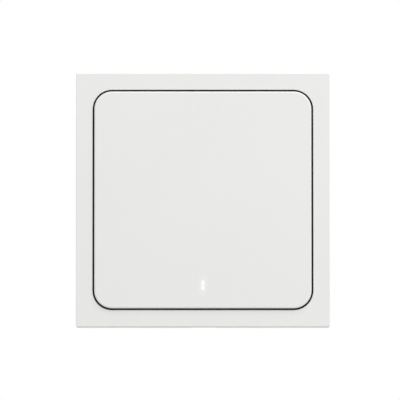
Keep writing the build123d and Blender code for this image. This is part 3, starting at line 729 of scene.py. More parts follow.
@dataclass(frozen=True)
class CappedTube(Finish):
    """Ceramic tube with a plated cap at each end.

    Attributes:
        centre: Middle of the tube.
        cap: How far from the middle the caps start.
        colour: Colour of the ceramic.
    """

    centre: Place
    cap: float
    colour: Colour = (0.6, 0.58, 0.54)

    def lay(self, shading: Shading) -> None:
        """Lay the ceramic and the caps.

        Args:
            shading: The nodes to lay them with.
        """
        across, _, _ = shading.axes(shading.about(self.centre))
        specks = shading.noise(size=0.15 * MM, detail=4.0)
        colour = shading.mottled(specks, self.colour, share=0.1)
        shading.skin(colour, rough=(0.4, 0.55), pattern=specks, depth=4 * MICRON)
        ends = shading.maths("GREATER_THAN", shading.maths("ABSOLUTE", across), self.cap)
        shading.tin(ends, roughness=0.3)


@dataclass(frozen=True)
class ChipBody(Finish):
    """Small surface-mounted parts: tinned ends, and bodies that are black or brown by chance.

    Attributes:
        black: Colour of a black body.
        brown: Colour of a brown body.
        share: Share of the bodies that are black.
    """

    black: Colour = (0.012, 0.012, 0.013)
    brown: Colour = (0.22, 0.13, 0.07)
    share: float = 0.5

    def lay(self, shading: Shading) -> None:
        """Lay the bodies and their ends.

        Args:
            shading: The nodes to lay them with.
        """
        choice = shading.maths("GREATER_THAN", shading.attribute("tone"), self.share)
        colour = shading.mix(choice, self.black, self.brown)
        grain = shading.noise(size=0.08 * MM)
        shading.skin(colour, rough=(0.4, 0.5), pattern=grain, depth=2 * MICRON)
        shading.tin(shading.attribute("cap"))


def placed(name: str, data: bpy.types.ID) -> bpy.types.Object:
    """Put a mesh, a lamp or a camera in the scene.

    Args:
        name: Name of the object.
        data: What it holds.

    Returns:
        The new object.
    """
    holder = bpy.data.objects.new(name, data)
    bpy.context.scene.collection.objects.link(holder)
    return holder


def taken_out(holder: bpy.types.Object) -> bpy.types.Mesh:
    """Turn an object and its modifiers into a plain mesh, and remove the object.

    Args:
        holder: The object.

    Returns:
        The plain mesh.
    """
    graph = bpy.context.evaluated_depsgraph_get()
    shape = holder.evaluated_get(graph)
    mesh = bpy.data.meshes.new_from_object(shape, preserve_all_data_layers=True, depsgraph=graph)
    holder.modifiers.clear()
    bpy.data.objects.remove(holder)
    return mesh


class GeometryTree(NodeBench):
    """A Geometry Nodes tree with named inputs, which gives a plain mesh when it is run."""

    def __init__(self, name: str, **inputs: Kind) -> None:
        """Start a tree.

        Args:
            name: Name of the tree.
            **inputs: The kind of each named input.
        """
        super().__init__(bpy.data.node_groups.new(name, "GeometryNodeTree"))
        new_socket = self.tree.interface.new_socket
        new_socket("Geometry", in_out="INPUT", socket_type="NodeSocketGeometry")
        new_socket("Geometry", in_out="OUTPUT", socket_type="NodeSocketGeometry")
        self.keys: dict[str, str] = {}
        for label, kind in inputs.items():
            self.keys[label] = new_socket(label, in_out="INPUT", socket_type=kind.value).identifier
        self.given = self.add("NodeGroupInput").outputs
        self.result = self.add("NodeGroupOutput").inputs[0]

    def keep(self, geometry: Socket, domain: str, name: str, value: Socket) -> Socket:
        """Store a number on the geometry for the finish to read.

        Args:
            geometry: The geometry to store it on.
            domain: What carries one number each.
            name: Name of the attribute.
            value: The number.

        Returns:
            The geometry with the attribute.
        """
        inputs = {"Geometry": geometry, "Name": name, "Value": value}
        node = self.add("GeometryNodeStoreNamedAttribute", inputs, data_type="FLOAT", domain=domain)
        return node.outputs[0]

    def end(self, geometry: Socket) -> None:
        """End the tree in plain geometry with its finish.

        Args:
            geometry: The geometry that the tree has made.
        """
        real = self.add("GeometryNodeRealizeInstances", {0: geometry}).outputs[0]
        inputs = {"Geometry": real, "Material": self.given["Finish"]}
        self.feed(self.result, self.add("GeometryNodeSetMaterial", inputs).outputs[0])

    def run(self, name: str, start: bpy.types.Mesh, **values: object) -> bpy.types.Mesh:
        """Run the tree once.

        Args:
            name: Name of the new mesh.
            start: The mesh that the tree starts from.
            **values: A value for each named input.

        Returns:
            The result as a plain mesh.
        """
        holder = placed(f"{name}_holder", start)
        modifier = holder.modifiers.new(name, "NODES")
        modifier.node_group = self.tree
        for label, value in values.items():
            modifier[self.keys[label]] = value
        mesh = taken_out(holder)
        mesh.name = name
        return mesh


@cache
def coil_tree() -> GeometryTree:
    """Build the tree that winds a wire about Z, with closer turns at both ends.

    Returns:
        The tree.
    """
    sizes = dict.fromkeys(("Radius", "Wire", "Length", "Turns", "Closing"), Kind.NUMBER)
    facets = dict.fromkeys(("Steps", "Sides"), Kind.COUNT)
    tree = GeometryTree("wound_coil", **sizes, **facets, Finish=Kind.MATERIAL)
    given = tree.given
    inputs = {
        "Resolution": given["Steps"],
        "Rotations": given["Turns"],
        "Start Radius": given["Radius"],
        "End Radius": given["Radius"],
        "Height": given["Length"],
    }
    spiral = tree.add("GeometryNodeCurveSpiral", inputs).outputs[0]
    along = tree.add("GeometryNodeSplineParameter").outputs["Factor"]
    wave = tree.maths("SINE", tree.maths("MULTIPLY", along, math.tau))
    pull = tree.maths("MULTIPLY", wave, tree.maths("DIVIDE", given["Closing"], -math.tau))
    rise = tree.maths("MULTIPLY", pull, given["Length"])
    shift = tree.add("ShaderNodeCombineXYZ", {2: rise}).outputs[0]
    path = tree.add("GeometryNodeSetPosition", {"Geometry": spiral, "Offset": shift}).outputs[0]
    path = tree.add("GeometryNodeSetCurveNormal", {0: path}, mode="Z_UP").outputs[0]
    path = tree.keep(path, "POINT", "along", tree.maths("MULTIPLY", along, given["Turns"]))
    ring_inputs = {"Resolution": given["Sides"], "Radius": given["Wire"]}
    ring = tree.add("GeometryNodeCurvePrimitiveCircle", ring_inputs, mode="RADIUS").outputs[0]
    ring = tree.keep(ring, "POINT", "around", along)
    sweep = {"Curve": path, "Profile Curve": ring, "Fill Caps": True}
    tree.end(tree.add("GeometryNodeCurveToMesh", sweep).outputs[0])
    return tree


@cache
def repeat_tree() -> GeometryTree:
    """Build the tree that sets one shape on every point, turned about an axis by chance.

    Returns:
        The tree.
    """
    tree = GeometryTree(
        "repeat_on_points",
        Shape=Kind.OBJECT,
        Axis=Kind.VECTOR,
        Spin=Kind.NUMBER,
        Step=Kind.NUMBER,
        Seed=Kind.COUNT,
        Finish=Kind.MATERIAL,
    )
    given = tree.given
    source = tree.add("GeometryNodeObjectInfo", {"Object": given["Shape"]}).outputs["Geometry"]
    draw = tree.add("FunctionNodeRandomValue", {"Seed": given["Seed"]}, data_type="FLOAT")
    chance = draw.outputs[1]
    angle = tree.maths("SNAP", tree.maths("MULTIPLY", chance, given["Spin"]), given["Step"])
    spin = {"Axis": given["Axis"], "Angle": angle}
    turn = tree.add("FunctionNodeAxisAngleToRotation", spin).outputs[0]
    inputs = {"Points": given["Geometry"], "Instance": source, "Rotation": turn}
    copies = tree.add("GeometryNodeInstanceOnPoints", inputs).outputs[0]
    tree.end(tree.keep(copies, "INSTANCE", "tone", chance))
    return tree


def wound(name: str, finish: Finish, **sizes: float) -> bpy.types.Mesh:
    """Wind a coil about Z.

    Args:
        name: Name of the mesh.
        finish: Finish of the wire.
        **sizes: A value for each other input of the coil's tree.

    Returns:
        The coil, from zero upwards.
    """
    start = bpy.data.meshes.new(f"{name}_start")
    return coil_tree().run(name, start, Finish=coat(finish), **sizes)


def foremost(node: str, depth: float = 10 * MICRON) -> list[Vector]:
    """List the corners of a solid that reach farthest towards the room.

    Args:
        node: The solid.
        depth: How far behind the foremost corner the others may lie.

    Returns:
        The corners.
    """
    places = [vertex.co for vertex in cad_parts[node].data.vertices]
    front = min(place.y for place in places)
    return [place for place in places if place.y < front + depth]


def box_round(places: Sequence[Vector]) -> tuple[Vector, Vector]:
    """Find the two corners of the box round some places."""
    low, high = ([pick(place[i] for place in places) for i in range(3)] for pick in (min, max))
    return Vector(low), Vector(high)


def centred(box: tuple[Vector, Vector]) -> tuple[Vector, Vector]:
    """Find the middle of a box and half of its size."""
    low, high = box
    return (low + high) / 2, (high - low) / 2


def spaced(low: float, high: float, count: int) -> list[float]:
    """Space places evenly from one end to the other, or set a single one in the middle."""
    gaps = count - 1
    return [low + (high - low) * i / gaps for i in range(count)] if gaps else [(low + high) / 2]


def two_columns(node: str, inset: float, depth: float, rows: int = 2) -> list[Vector]:
    """Set out places in two columns over a solid.

    Args:
        node: The solid.
        inset: From the sides of its box to the places.
        depth: Y of the places.
        rows: Places in a column.

    Returns:
        The places, one column after the other.
    """
    low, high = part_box(node)
    columns = spaced(low.x + inset, high.x - inset, 2)
    heights = spaced(low.z + inset, high.z - inset, rows)
    return [Vector((x, depth, z)) for x in columns for z in heights]


def bridged(solid: bmesh.types.BMesh, low: Ring, high: Ring) -> list[bmesh.types.BMFace]:
    """Close the side between two rings of corners, where a ring may be a single pole.

    Args:
        solid: The work mesh.
        low: The first ring.
        high: The second ring.

    Returns:
        The new faces.
    """
    faces = []
    for i in range(max(len(low), len(high))):
        j = i + 1
        corners = [low[i % len(low)], low[j % len(low)], high[j % len(high)], high[i % len(high)]]
        faces.append(solid.faces.new(list(dict.fromkeys(corners))))
    return faces


def lathe(profile: Sequence[Span], steps: int) -> bmesh.types.BMesh:
    """Turn a profile about Z into a closed solid.

    Args:
        profile: Radius and height of each point, from the lower pole to the upper one.
        steps: Number of facets round the axis.

    Returns:
        The turned solid.
    """
    solid = bmesh.new()
    rings = []
    for radius, height in profile:
        count = steps if radius else 1
        turns = [Matrix.Rotation(math.tau * i / count, 3, "Z") for i in range(count)]
        rings.append([solid.verts.new(turn @ Vector((radius, 0.0, height))) for turn in turns])
    for low, high in zip(rings, rings[1:]):
        bridged(solid, low, high)
    bmesh.ops.recalc_face_normals(solid, faces=solid.faces)
    return solid


def plain_mesh(name: str, solid: bmesh.types.BMesh) -> bpy.types.Mesh:
    """Turn a work mesh into a mesh, and free it.

    Args:
        name: Name of the mesh.
        solid: The work mesh.

    Returns:
        The mesh.
    """
    mesh = bpy.data.meshes.new(name)
    solid.to_mesh(mesh)
    solid.free()
    return mesh


def joined(name: str, *meshes: bpy.types.Mesh) -> bpy.types.Mesh:
    """Put several meshes into one, and merge the doubles that a cut leaves.

    Args:
        name: Name of the new mesh.
        *meshes: The meshes to join.

    Returns:
        The new mesh.
    """
    solid = bmesh.new()
    for mesh in meshes:
        solid.from_mesh(mesh)
    bmesh.ops.remove_doubles(solid, verts=solid.verts, dist=MICRON)
    return plain_mesh(name, solid)


def carved(body: bpy.types.Mesh, tool: bpy.types.Mesh) -> bpy.types.Mesh:
    """Cut one closed mesh out of another.

    Args:
        body: The mesh to cut.
        tool: The mesh that is taken away.

    Returns:
        What is left of the body.
    """
    holder, cutter = (placed(mesh.name, mesh) for mesh in (body, tool))
    cut = holder.modifiers.new("cut", "BOOLEAN")
    cut.operation = "DIFFERENCE"
    cut.solver = "EXACT"
    cut.object = cutter
    left = taken_out(holder)
    bpy.data.objects.remove(cutter)
    return left


def soft_shaded(mesh: bpy.types.Mesh, sharp_over: float = math.radians(32)) -> bpy.types.Mesh:
    """Shade a mesh smooth, but keep its sharp edges crisp.

    Args:
        mesh: The mesh.
        sharp_over: The angle past which an edge is sharp.

    Returns:
        The same mesh.
    """
    mesh.shade_smooth()
    mesh.set_sharp_from_angle(angle=sharp_over)
    return mesh


def install(name: str, mesh: bpy.types.Mesh, slot: Slot, *nodes: str) -> bpy.types.Object:
    """Put a finished mesh in the scene as a piece of the base.

    Args:
        name: Name of the piece.
        mesh: Its mesh, with its place in it.
        slot: The record's slot for its finish, which is not used.
        *nodes: Solids that it stands for.

    Returns:
        The piece.
    """
    piece = placed(name, mesh)
    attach(piece, BASE)
    if nodes:
        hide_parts(*nodes)
    LOG.info("%s made with %d faces", name, len(mesh.polygons))
    return piece


@dataclass
class Repeat:
    """A shape that is set on many points.

    Attributes:
        name: Name of the piece.
        slot: The record's slot for its finish, passed on to install, which does not use it.
        finish: Its finish.
        facing: The way that the copies are turned to.
        spin: Largest turn of a copy in its place.
        step: Step of those turns.
        seed: Seed of the chance.
    """

    name: str
    slot: Slot
    finish: Finish
    facing: Facing = Facing.ROOM
    spin: float = math.tau
    step: float = math.radians(1)
    seed: int = 4

    def build(self, shape: bpy.types.Mesh, points: Sequence[Vector], *nodes: str) -> None:
        """Set the shape on the points as one piece.

        Args:
            shape: The shape about its own Z axis.
            points: Where a copy goes.
            *nodes: Solids that the piece stands for.
        """
        shape.transform(self.facing.turn)
        places = bpy.data.meshes.new(f"{self.name}_points")
        places.from_pydata([tuple(point) for point in points], [], [])
        pattern = placed(f"{self.name}_shape", shape)
        values = {
            "Shape": pattern,
            "Axis": self.facing.axis,
            "Spin": self.spin,
            "Step": self.step,
            "Seed": self.seed,
            "Finish": coat(self.finish),
        }
        mesh = repeat_tree().run(self.name, places, **values)
        bpy.data.objects.remove(pattern)
        install(self.name, mesh, self.slot, *nodes)


@dataclass(frozen=True)
class Screw:
    """A screw about Z, with its head above zero and its threaded shank below.

    Attributes:
        head_radius: Radius of the head.
        head_height: Height of the head.
        shank_radius: Radius of the thread's crests.
        shank_length: Length of the shank with its point.
        pitch: From one thread to the next.
        thread: Height of the thread.
        drive: The recess in the head.
        finish: Finish of the screw.
        steps: Facets round the screw.
    """

    head_radius: float
    head_height: float
    shank_radius: float
    shank_length: float
    pitch: float
    thread: float
    drive: Drive
    finish: Finish = ZINC
    steps: int = 40

    def blank(self) -> bpy.types.Mesh:
        """Turn the blank: a point, a core and a domed head.

        Returns:
            The blank's mesh.
        """
        core = self.shank_radius - self.thread
        end = -self.shank_length
        tip, point = 0.5 * core, 0.6 * core
        skirt = 0.4 * self.head_height
        crown = 0.45 * self.head_radius
        profile = [(0.0, end), (tip, end), (core, end + point), (core, 0.0), (self.head_radius, 0.0)]
        for degrees in range(0, 91, 15):
            angle = math.radians(degrees)
            radius = self.head_radius - crown + crown * math.cos(angle)
            profile.append((radius, skirt + (self.head_height - skirt) * math.sin(angle)))
        profile.append((0.0, self.head_height))
        return plain_mesh("screw_blank", lathe(profile, self.steps))

    def recess(self) -> bpy.types.Mesh:
        """Make the tool that cuts the recess: two crossed bars, narrower at the bottom.

        Returns:
            The tool's mesh.
        """
        long, short = (share * self.head_radius for share in self.drive.value)
        half = 0.15 * self.head_radius
        quarter = [(long, half), (half, half), (half, short)]
        outline = quarter + [(-x, y) for x, y in reversed(quarter)]
        outline += [(-x, -y) for x, y in outline]
        floor, above = 0.45 * self.head_height, 1.5 * self.head_height
        taper = 0.8
        levels = ((floor, taper), (above, 1.0))
        tool = bmesh.new()
        rings = [[tool.verts.new((x * s, y * s, z)) for x, y in outline] for z, s in levels]
        bridged(tool, *rings)
        for ring in rings:
            tool.faces.new(ring)
        bmesh.ops.recalc_face_normals(tool, faces=tool.faces)
        return plain_mesh("screw_recess", tool)

    def mesh(self) -> bpy.types.Mesh:
        """Make the whole screw.

        Returns:
            The screw's mesh.
        """
        head = carved(self.blank(), self.recess())
        length = self.shank_length - self.shank_radius - self.pitch
        sizes = {
            "Radius": self.shank_radius - self.thread,
            "Wire": self.thread,
            "Length": length,
            "Turns": length / self.pitch,
            "Closing": 0.0,
            "Steps": 24,
            "Sides": 4,
        }
        thread = wound("screw_thread", self.finish, **sizes)
        thread.transform(Matrix.Translation((0.0, 0.0, self.shank_radius - self.shank_length)))
        return soft_shaded(joined("screw", head, thread))

    def build(self, name: str, node: str, rows: int, seed: int) -> list[Vector]:
        """Set screws in two columns in the place of plain ones, with their heads to the room.

        Args:
            name: Name of the piece.
            node: The plain screws.
            rows: Screws in a column.
            seed: Seed of their turns.

        Returns:
            Where the screws are.
        """
        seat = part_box(node)[0].y + self.head_height
        points = two_columns(node, self.head_radius, seat, rows)
        Repeat(name, Slot.STEEL, self.finish, seed=seed).build(self.mesh(), points, node)
        return points


PAN_SCREW = Screw(
    head_radius=2.2 * MM,
    head_height=0.9 * MM,
    shank_radius=1.2 * MM,
    shank_length=3.6 * MM,
    pitch=0.8 * MM,
    thread=0.3 * MM,
    drive=Drive.CROSS,
)
CLAMP_SCREW = Screw(
    head_radius=2.0 * MM,
    head_height=1.4 * MM,
    shank_radius=1.5 * MM,
    shank_length=2.6 * MM,
    pitch=0.5 * MM,
    thread=0.22 * MM,
    drive=Drive.SLOT_AND_CROSS,
)


@dataclass
class FrontFace:
    """The square frame, the large key that fills it and the lit bar on the key.

    Attributes:
        white: Colour of the frame and the key.
        gap: From the key's side to just behind the wall of the frame's opening.
    """

    white: Colour = (0.8, 0.8, 0.782)
    gap: float = 0.65 * MM

    def build(self) -> None:
        """Give the frame and the key their satin white, and light the bar."""
        middle, half = centred(box_round(foremost("indicator_lens")))
        lamp = tuple(middle)
        look = {
            "colour": self.white,
            "roughness": 0.44,
            "grain": 0.35 * MM,
            "depth": 3 * MICRON,
            "cloud": 25 * MM,
            "mottle": 0.006,
        }
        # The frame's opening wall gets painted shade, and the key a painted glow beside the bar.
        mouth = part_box("push_key")[1].x + self.gap
        paint(PaintedShadeMouth("satin_white", mouth=mouth, **look), "front_frame")
        paint(GlowingPlastic("satin_white_key", lamp=lamp, half_bar=half.z, **look), "push_key")
        paint(LitGuide("lit_bar", lamp, half.x, half.z), "indicator_lens")


@dataclass
class Carrier:
    """The black plate behind the key, with its screws and the springs that push the key out.

    Attributes:
        screw: The screws that hold the plate.
        coil_radius: Radius of a spring, at the middle of its wire.
        wire: Thickness of the spring wire.
        turns: Turns of a spring.
        closing: How far the end turns close up.
        pressed: Share of a spring's length that is left when the key is pressed in; it is not used.
    """

    screw: Screw = PAN_SCREW
    coil_radius: float = 2.1 * MM
    wire: float = 0.45 * MM
    turns: float = 4.5
    closing: float = 0.52
    pressed: float = 0.76

    def build(self) -> None:
        """Give the plate its black grain, a screw in each corner and its springs."""
        colour = (0.015, 0.015, 0.016)
        paint(MouldedPlastic("black_moulded", colour, roughness=0.5, depth=8 * MICRON), "key_carrier")
        self.screw.build("carrier_screw_set", "carrier_screws", rows=2, seed=4)
        self.build_springs()

    def build_springs(self) -> None:
        """Wind a spring in the place of each plain one."""
        trim = self.wire / 4
        for side in ("left", "right"):
            node = f"return_spring_{side}"
            middle, half = centred(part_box(node))
            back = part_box(node)[1].y + trim
            sizes = {
                "Radius": self.coil_radius,
                "Wire": self.wire / 2,
                "Length": 2 * (half.y + trim) - self.wire,
                "Turns": self.turns,
                "Closing": self.closing,
                "Steps": 40,
                "Sides": 14,
            }
            name = f"spring_coil_{side}"
            mesh = wound(name, DrawnWire("drawn_wire"), **sizes)
            foot = Vector((middle.x, back - self.wire / 2, middle.z))
            mesh.transform(Matrix.Translation(foot) @ Facing.ROOM.turn)
            piece = install(name, soft_shaded(mesh), Slot.SPRING, node)
            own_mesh(piece)


@dataclass
class Boards:
    """The control board behind the carrier and the power board in the box, with their parts.

    Attributes:
        screw: The screws that hold the power board.
        pad: Radius of a solder joint at the board.
        lead: Radius of a lead.
        lead_joint: Height of the solder on a lead.
        pin_joint: Height of the solder on a connector's pin.
        flare: How steeply the solder falls from the lead to its pad.
        chip: Length, width and height of a small part.
        chip_cap: Length of its tinned ends.
        chip_pitch: Grid that the small parts stand on.
        chip_share: Share of the grid that is filled.
        clear: Room that a small part keeps from its neighbours.
        margins: Room that it keeps from the edges and cut corners of each board.
        post_inset: From the control board's corners to the middle of its posts.
        post_room: Room that a small part keeps from a post's middle.
        coil_drop: From the power board to the transformer's coil.
        can_end: Share of the can's radius that the sleeve leaves bare at its end.
        can_lip: Depth of the sleeve's lip on the can's end.
        fuse_cap: How far from the fuse's middle its caps start.
        seed: Seed of the chance.
        leaded: Solids with leads through the power board.
    """

    screw: Screw = PAN_SCREW
    pad: float = 0.85 * MM
    lead: float = 0.4 * MM
    lead_joint: float = 0.85 * MM
    pin_joint: float = 0.4 * MM
    flare: float = 2.4
    chip: Place = (1.6 * MM, 0.8 * MM, 0.45 * MM)
    chip_cap: float = 0.3 * MM
    chip_pitch: float = 2.8 * MM
    chip_share: float = 0.45
    clear: float = 1.5 * MM
    margins: tuple[tuple[str, float], ...] = (("control_board", 3.2 * MM), ("power_board", 9.0 * MM))
    post_inset: Place = (6.0 * MM, 0.0, 3.0 * MM)
    post_room: float = 3.4 * MM
    coil_drop: float = 2.15 * MM
    can_end: float = 0.84
    can_lip: float = 0.2 * MM
    fuse_cap: float = 2.4 * MM
    seed: int = 11
    leaded: tuple[str, ...] = (
        "relay",
        "transformer_coil",
        "bulk_capacitor",
        "film_capacitor",
        "surge_varistor",
        "line_fuse",
        "terminal_clamp_left",
        "terminal_clamp_middle",
        "terminal_clamp_right",
    )

    def build(self) -> None:
        """Dress both boards and their parts, and add the solder, the screws and the small parts."""
        paint(PrintedBoard("green_board"), "control_board", "radio_board", "power_board")
        paint(TIN, "radio_shield")
        paint(BRASS, "connector_pins")
        self.dress_plastics()
        self.dress_power_parts()
        middle, half = centred(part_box("status_led"))
        paint(LitGuide("lit_diode", tuple(middle), half.x, half.z, core=0.6, edge=0.1), "status_led")
        joints = self.build_solder()
        screws = self.screw.build("power_screw_set", "power_board_screws", rows=1, seed=6)
        self.build_chips(joints, screws)

    def dress_plastics(self) -> None:
        """Dress the parts with moulded or dipped bodies, and the pressed core."""
        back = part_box("power_board")[1].y
        black, grey, dark = (0.02, 0.02, 0.022), (0.3, 0.3, 0.3), (0.04, 0.04, 0.042)
        yellow, blue = (0.55, 0.42, 0.1), (0.04, 0.12, 0.4)
        fine = {"roughness": 0.4, "grain": 0.2 * MM, "depth": 4 * MICRON}
        finer = {"roughness": 0.4, "grain": 0.15 * MM, "depth": 3 * MICRON}
        gloss = {"grain": 0.5 * MM, "depth": 3 * MICRON, "leads": back}
        dipped = {"roughness": 0.3, "grain": 1.2 * MM, "depth": 30 * MICRON, "leads": back}
        pressed = {"roughness": 0.6, "grain": 0.1 * MM, "mottle": 0.15}
        parts = ("tact_switch_body", "connector_plug", "connector_socket")
        paint(MouldedPlastic("black_part", black, **fine), *parts)
        paint(MouldedPlastic("grey_stem", grey, **finer), "tact_switch_stem")
        paint(MouldedPlastic("relay_black", black, roughness=0.22, **gloss), "relay")
        paint(MouldedPlastic("film_yellow", yellow, roughness=0.2, **gloss), "film_capacitor")
        paint(MouldedPlastic("dipped_blue", blue, **dipped), "surge_varistor")
        paint(MouldedPlastic("ferrite", dark, **pressed), "transformer_core")

    def dress_power_parts(self) -> None:
        """Dress the transformer's coil, the round capacitor and the fuse."""
        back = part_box("power_board")[1].y
        paint(WoundTape("wound_tape", back + self.coil_drop), "transformer_coil")
        middle, half = centred(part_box("bulk_capacitor"))
        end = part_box("bulk_capacitor")[1].y - self.can_lip
        can = SleevedCan("sleeved_can", tuple(middle), end, self.can_end * half.x, back)
        paint(can, "bulk_capacitor")
        middle, _ = centred(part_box("line_fuse"))
        paint(CappedTube("capped_tube", tuple(middle), self.fuse_cap), "line_fuse")

    def lead_ends(self, node: str) -> list[Vector]:
        """Find where the leads of a solid end towards the room.

        Args:
            node: The solid.

        Returns:
            The middle of each lead's end.
        """
        ends: list[list[Vector]] = []
        for place in foremost(node):
            near = [group for group in ends if (group[0] - place).length < 2 * self.pad]
            if near:
                near[0].append(place)
            else:
                ends.append([place])
        return [centred(box_round(group))[0] for group in ends]

    def solder_cone(self, height: float) -> bpy.types.Mesh:
        """Turn a solder joint that climbs from its pad to the lead.

        Args:
            height: How far it climbs.

        Returns:
            The joint's mesh.
        """
        stages = 8
        profile = [(0.0, 0.0)]
        for i in range(stages + 1):
            share = i / stages
            radius = self.lead + (self.pad - self.lead) * (1 - share) ** self.flare
            profile.append((radius, height * share))
        shoulder = (0.6 * self.lead, 1.08 * height)
        top = (0.0, 1.1 * height)
        cone = lathe([*profile, shoulder, top], steps=20)
        return soft_shaded(plain_mesh("solder_cone", cone), sharp_over=math.radians(60))

    def build_solder(self) -> list[Vector]:
        """Solder every lead to its board.

        Returns:
            Where the joints are.
        """
        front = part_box("power_board")[0].y
        ends = [place for node in self.leaded for place in self.lead_ends(node)]
        leads = [Vector((place.x, front, place.z)) for place in ends]
        pins = self.lead_ends("connector_pins")
        Repeat("power_solder", Slot.TIN, SOLDER).build(self.solder_cone(self.lead_joint), leads)
        Repeat("control_solder", Slot.TIN, SOLDER, seed=5).build(self.solder_cone(self.pin_joint), pins)
        return leads + pins

    def chip_shape(self) -> bpy.types.Mesh:
        """Make one small part: a block with a tinned end on each side.

        Returns:
            The part's mesh, with its tinned faces marked.
        """
        length, width, height = self.chip
        loops = (-length / 2, self.chip_cap - length / 2, length / 2 - self.chip_cap, length / 2)
        section = [(-width / 2, 0.0), (width / 2, 0.0), (width / 2, height), (-width / 2, height)]
        solid = bmesh.new()
        cap = solid.faces.layers.float.new("cap")
        rings = [[solid.verts.new((x, y, z)) for y, z in section] for x in loops]
        for i, (first, last) in enumerate(zip(rings, rings[1:])):
            for face in bridged(solid, first, last):
                face[cap] = float(i != 1)
        for ring in (rings[0], rings[-1]):
            solid.faces.new(ring)[cap] = 1.0
        bmesh.ops.recalc_face_normals(solid, faces=solid.faces)
        return plain_mesh("chip", solid)

    def chip_points(self, board: str, margin: float, taken: Taken) -> list[Vector]:
        """Choose places for small parts on the front of a board.

        Args:
            board: The board.
            margin: Room kept from the board's edge and its cut corners.
            taken: Places that are in use, each with the room that it needs round it.

        Returns:
            The places.
        """
        chance = random.Random(self.seed)
        low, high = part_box(board)
        points = []
        columns = int((high.x - low.x - 2 * margin) / self.chip_pitch) + 1
        rows = int((high.z - low.z - 2 * margin) / self.chip_pitch) + 1
        for i in range(columns):
            for j in range(rows):
                step = Vector((i * self.chip_pitch, 0.0, j * self.chip_pitch))
                point = low + Vector((margin, 0.0, margin)) + step
                kept = chance.random() < self.chip_share
                if kept and all((point - place).xz.length > room for place, room in taken):
                    points.append(point)
        return points

    def build_chips(self, joints: Sequence[Vector], screws: Sequence[Vector]) -> None:
        """Set small parts on both boards, clear of what stands there.

        Args:
            joints: Where the solder joints are.
            screws: Where the power board's screws are.
        """
        taken = [(place, self.pad + self.clear) for place in joints]
        taken += [(place, self.screw.head_radius + self.clear) for place in screws]
        for node in ("tact_switch_body", "status_led", "connector_socket"):
            middle, half = centred(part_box(node))
            taken.append((middle, half.xz.length + self.clear))
        corner = centred(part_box("control_board"))[1] - Vector(self.post_inset)
        posts = [Vector((x * corner.x, 0.0, z * corner.z)) for x in (-1, 1) for z in (-1, 1)]
        taken += [(place, self.post_room) for place in posts]
        quarter = math.radians(90)
        turning = {"spin": 2 * quarter, "step": quarter, "seed": self.seed}
        finish = ChipBody("chip_bodies")
        for board, margin in self.margins:
            chips = Repeat(f"{board}_chips", Slot.CHIP, finish, **turning)
            chips.build(self.chip_shape(), self.chip_points(board, margin, taken))


@dataclass
class Enclosure:
    """The plate on the wall, the box in the wall and the screw terminals at its back.

    Attributes:
        screw: The clamp screws.
        poles: Number of terminals, with a clamp screw each.
        mark_radius: Radius of the round marks that the mould's pins leave.
        mark_height: Height of their rims.
        pocket_inset: From the plate's edge to the middle of a pocket.
        pocket_depth: Depth of a pocket in the plate's back.
        panel_depth: Depth of the sunk panel in the box's back.
        panel_up: How far the panel's middle is above the box's.
        housing: Finish of the plate and the box.
    """

    screw: Screw = CLAMP_SCREW
    poles: int = 3
    mark_radius: float = 1.8 * MM
    mark_height: float = 0.06 * MM
    pocket_inset: float = 11.25 * MM
    pocket_depth: float = 0.6 * MM
    panel_depth: float = 0.4 * MM
    panel_up: float = 9.0 * MM
    housing: Finish = MouldedPlastic(
        "dark_housing",
        colour=(0.045, 0.047, 0.05),
        roughness=0.52,
        grain=0.4 * MM,
        depth=16 * MICRON,
        cloud=14 * MM,
        mottle=0.05,
    )

    def build(self) -> None:
        """Dress the plate, the box and the terminals, and add the marks and the clamp screws."""
        paint(self.housing, "mounting_plate", "rear_box")
        colour = (0.42, 0.43, 0.42)
        grey = MouldedPlastic("terminal_grey", colour, roughness=0.4, cloud=6 * MM, mottle=0.04)
        for side in ("left", "middle", "right"):
            paint(grey, f"terminal_block_{side}")
            paint(BRASS, f"terminal_clamp_{side}")
        self.build_marks()
        self.build_screws()

    def build_marks(self) -> None:
        """Set the round marks of the mould's pins in the pockets and on the box's sunk panel."""
        radius, height = self.mark_radius, self.mark_height
        rim, dish, floor = 0.9 * radius, 0.84 * radius, 0.2 * height
        profile = [(0.0, -height), (radius, -height), (radius, height)]
        profile += [(rim, height), (dish, floor), (0.0, floor)]
        shape = soft_shaded(plain_mesh("mould_mark", lathe(profile, steps=40)))
        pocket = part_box("mounting_plate")[1].y - self.pocket_depth
        points = two_columns("mounting_plate", self.pocket_inset, pocket)
        points.append(Vector((0.0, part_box("rear_box")[1].y - self.panel_depth, self.panel_up)))
        Repeat("mould_marks", Slot.HOUSING, self.housing, Facing.WALL).build(shape, points)

    def build_screws(self) -> None:
        """Set the clamp screws, with their heads towards the floor."""
        low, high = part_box("terminal_screws")
        inset = self.screw.head_radius
        depth = (low.y + high.y) / 2
        seat = low.z + self.screw.head_height
        columns = spaced(low.x + inset, high.x - inset, self.poles)
        points = [Vector((x, depth, seat)) for x in columns]
        screws = Repeat("clamp_screw_set", Slot.STEEL, self.screw.finish, Facing.FLOOR, seed=9)
        screws.build(self.screw.mesh(), points, "terminal_screws")


@dataclass(frozen=True)
class Lamp:
    """A soft square lamp that looks at the switch.

    Attributes:
        name: Name of the lamp.
        place: Where it hangs.
        side: Its width and height.
        power: Its power in watts.
    """

    name: str
    place: Place
    side: float
    power: float

    def build(self) -> None:
        """Hang the lamp."""
        light = bpy.data.lights.new(self.name, "AREA")
        light.size = self.side
        light.energy = self.power
        holder = placed(self.name, light)
        holder.location = self.place
        holder.rotation_euler = (-Vector(self.place)).to_track_quat("-Z", "Y").to_euler()
        holder.visible_camera = False
        LOG.info("%s hung", self.name)


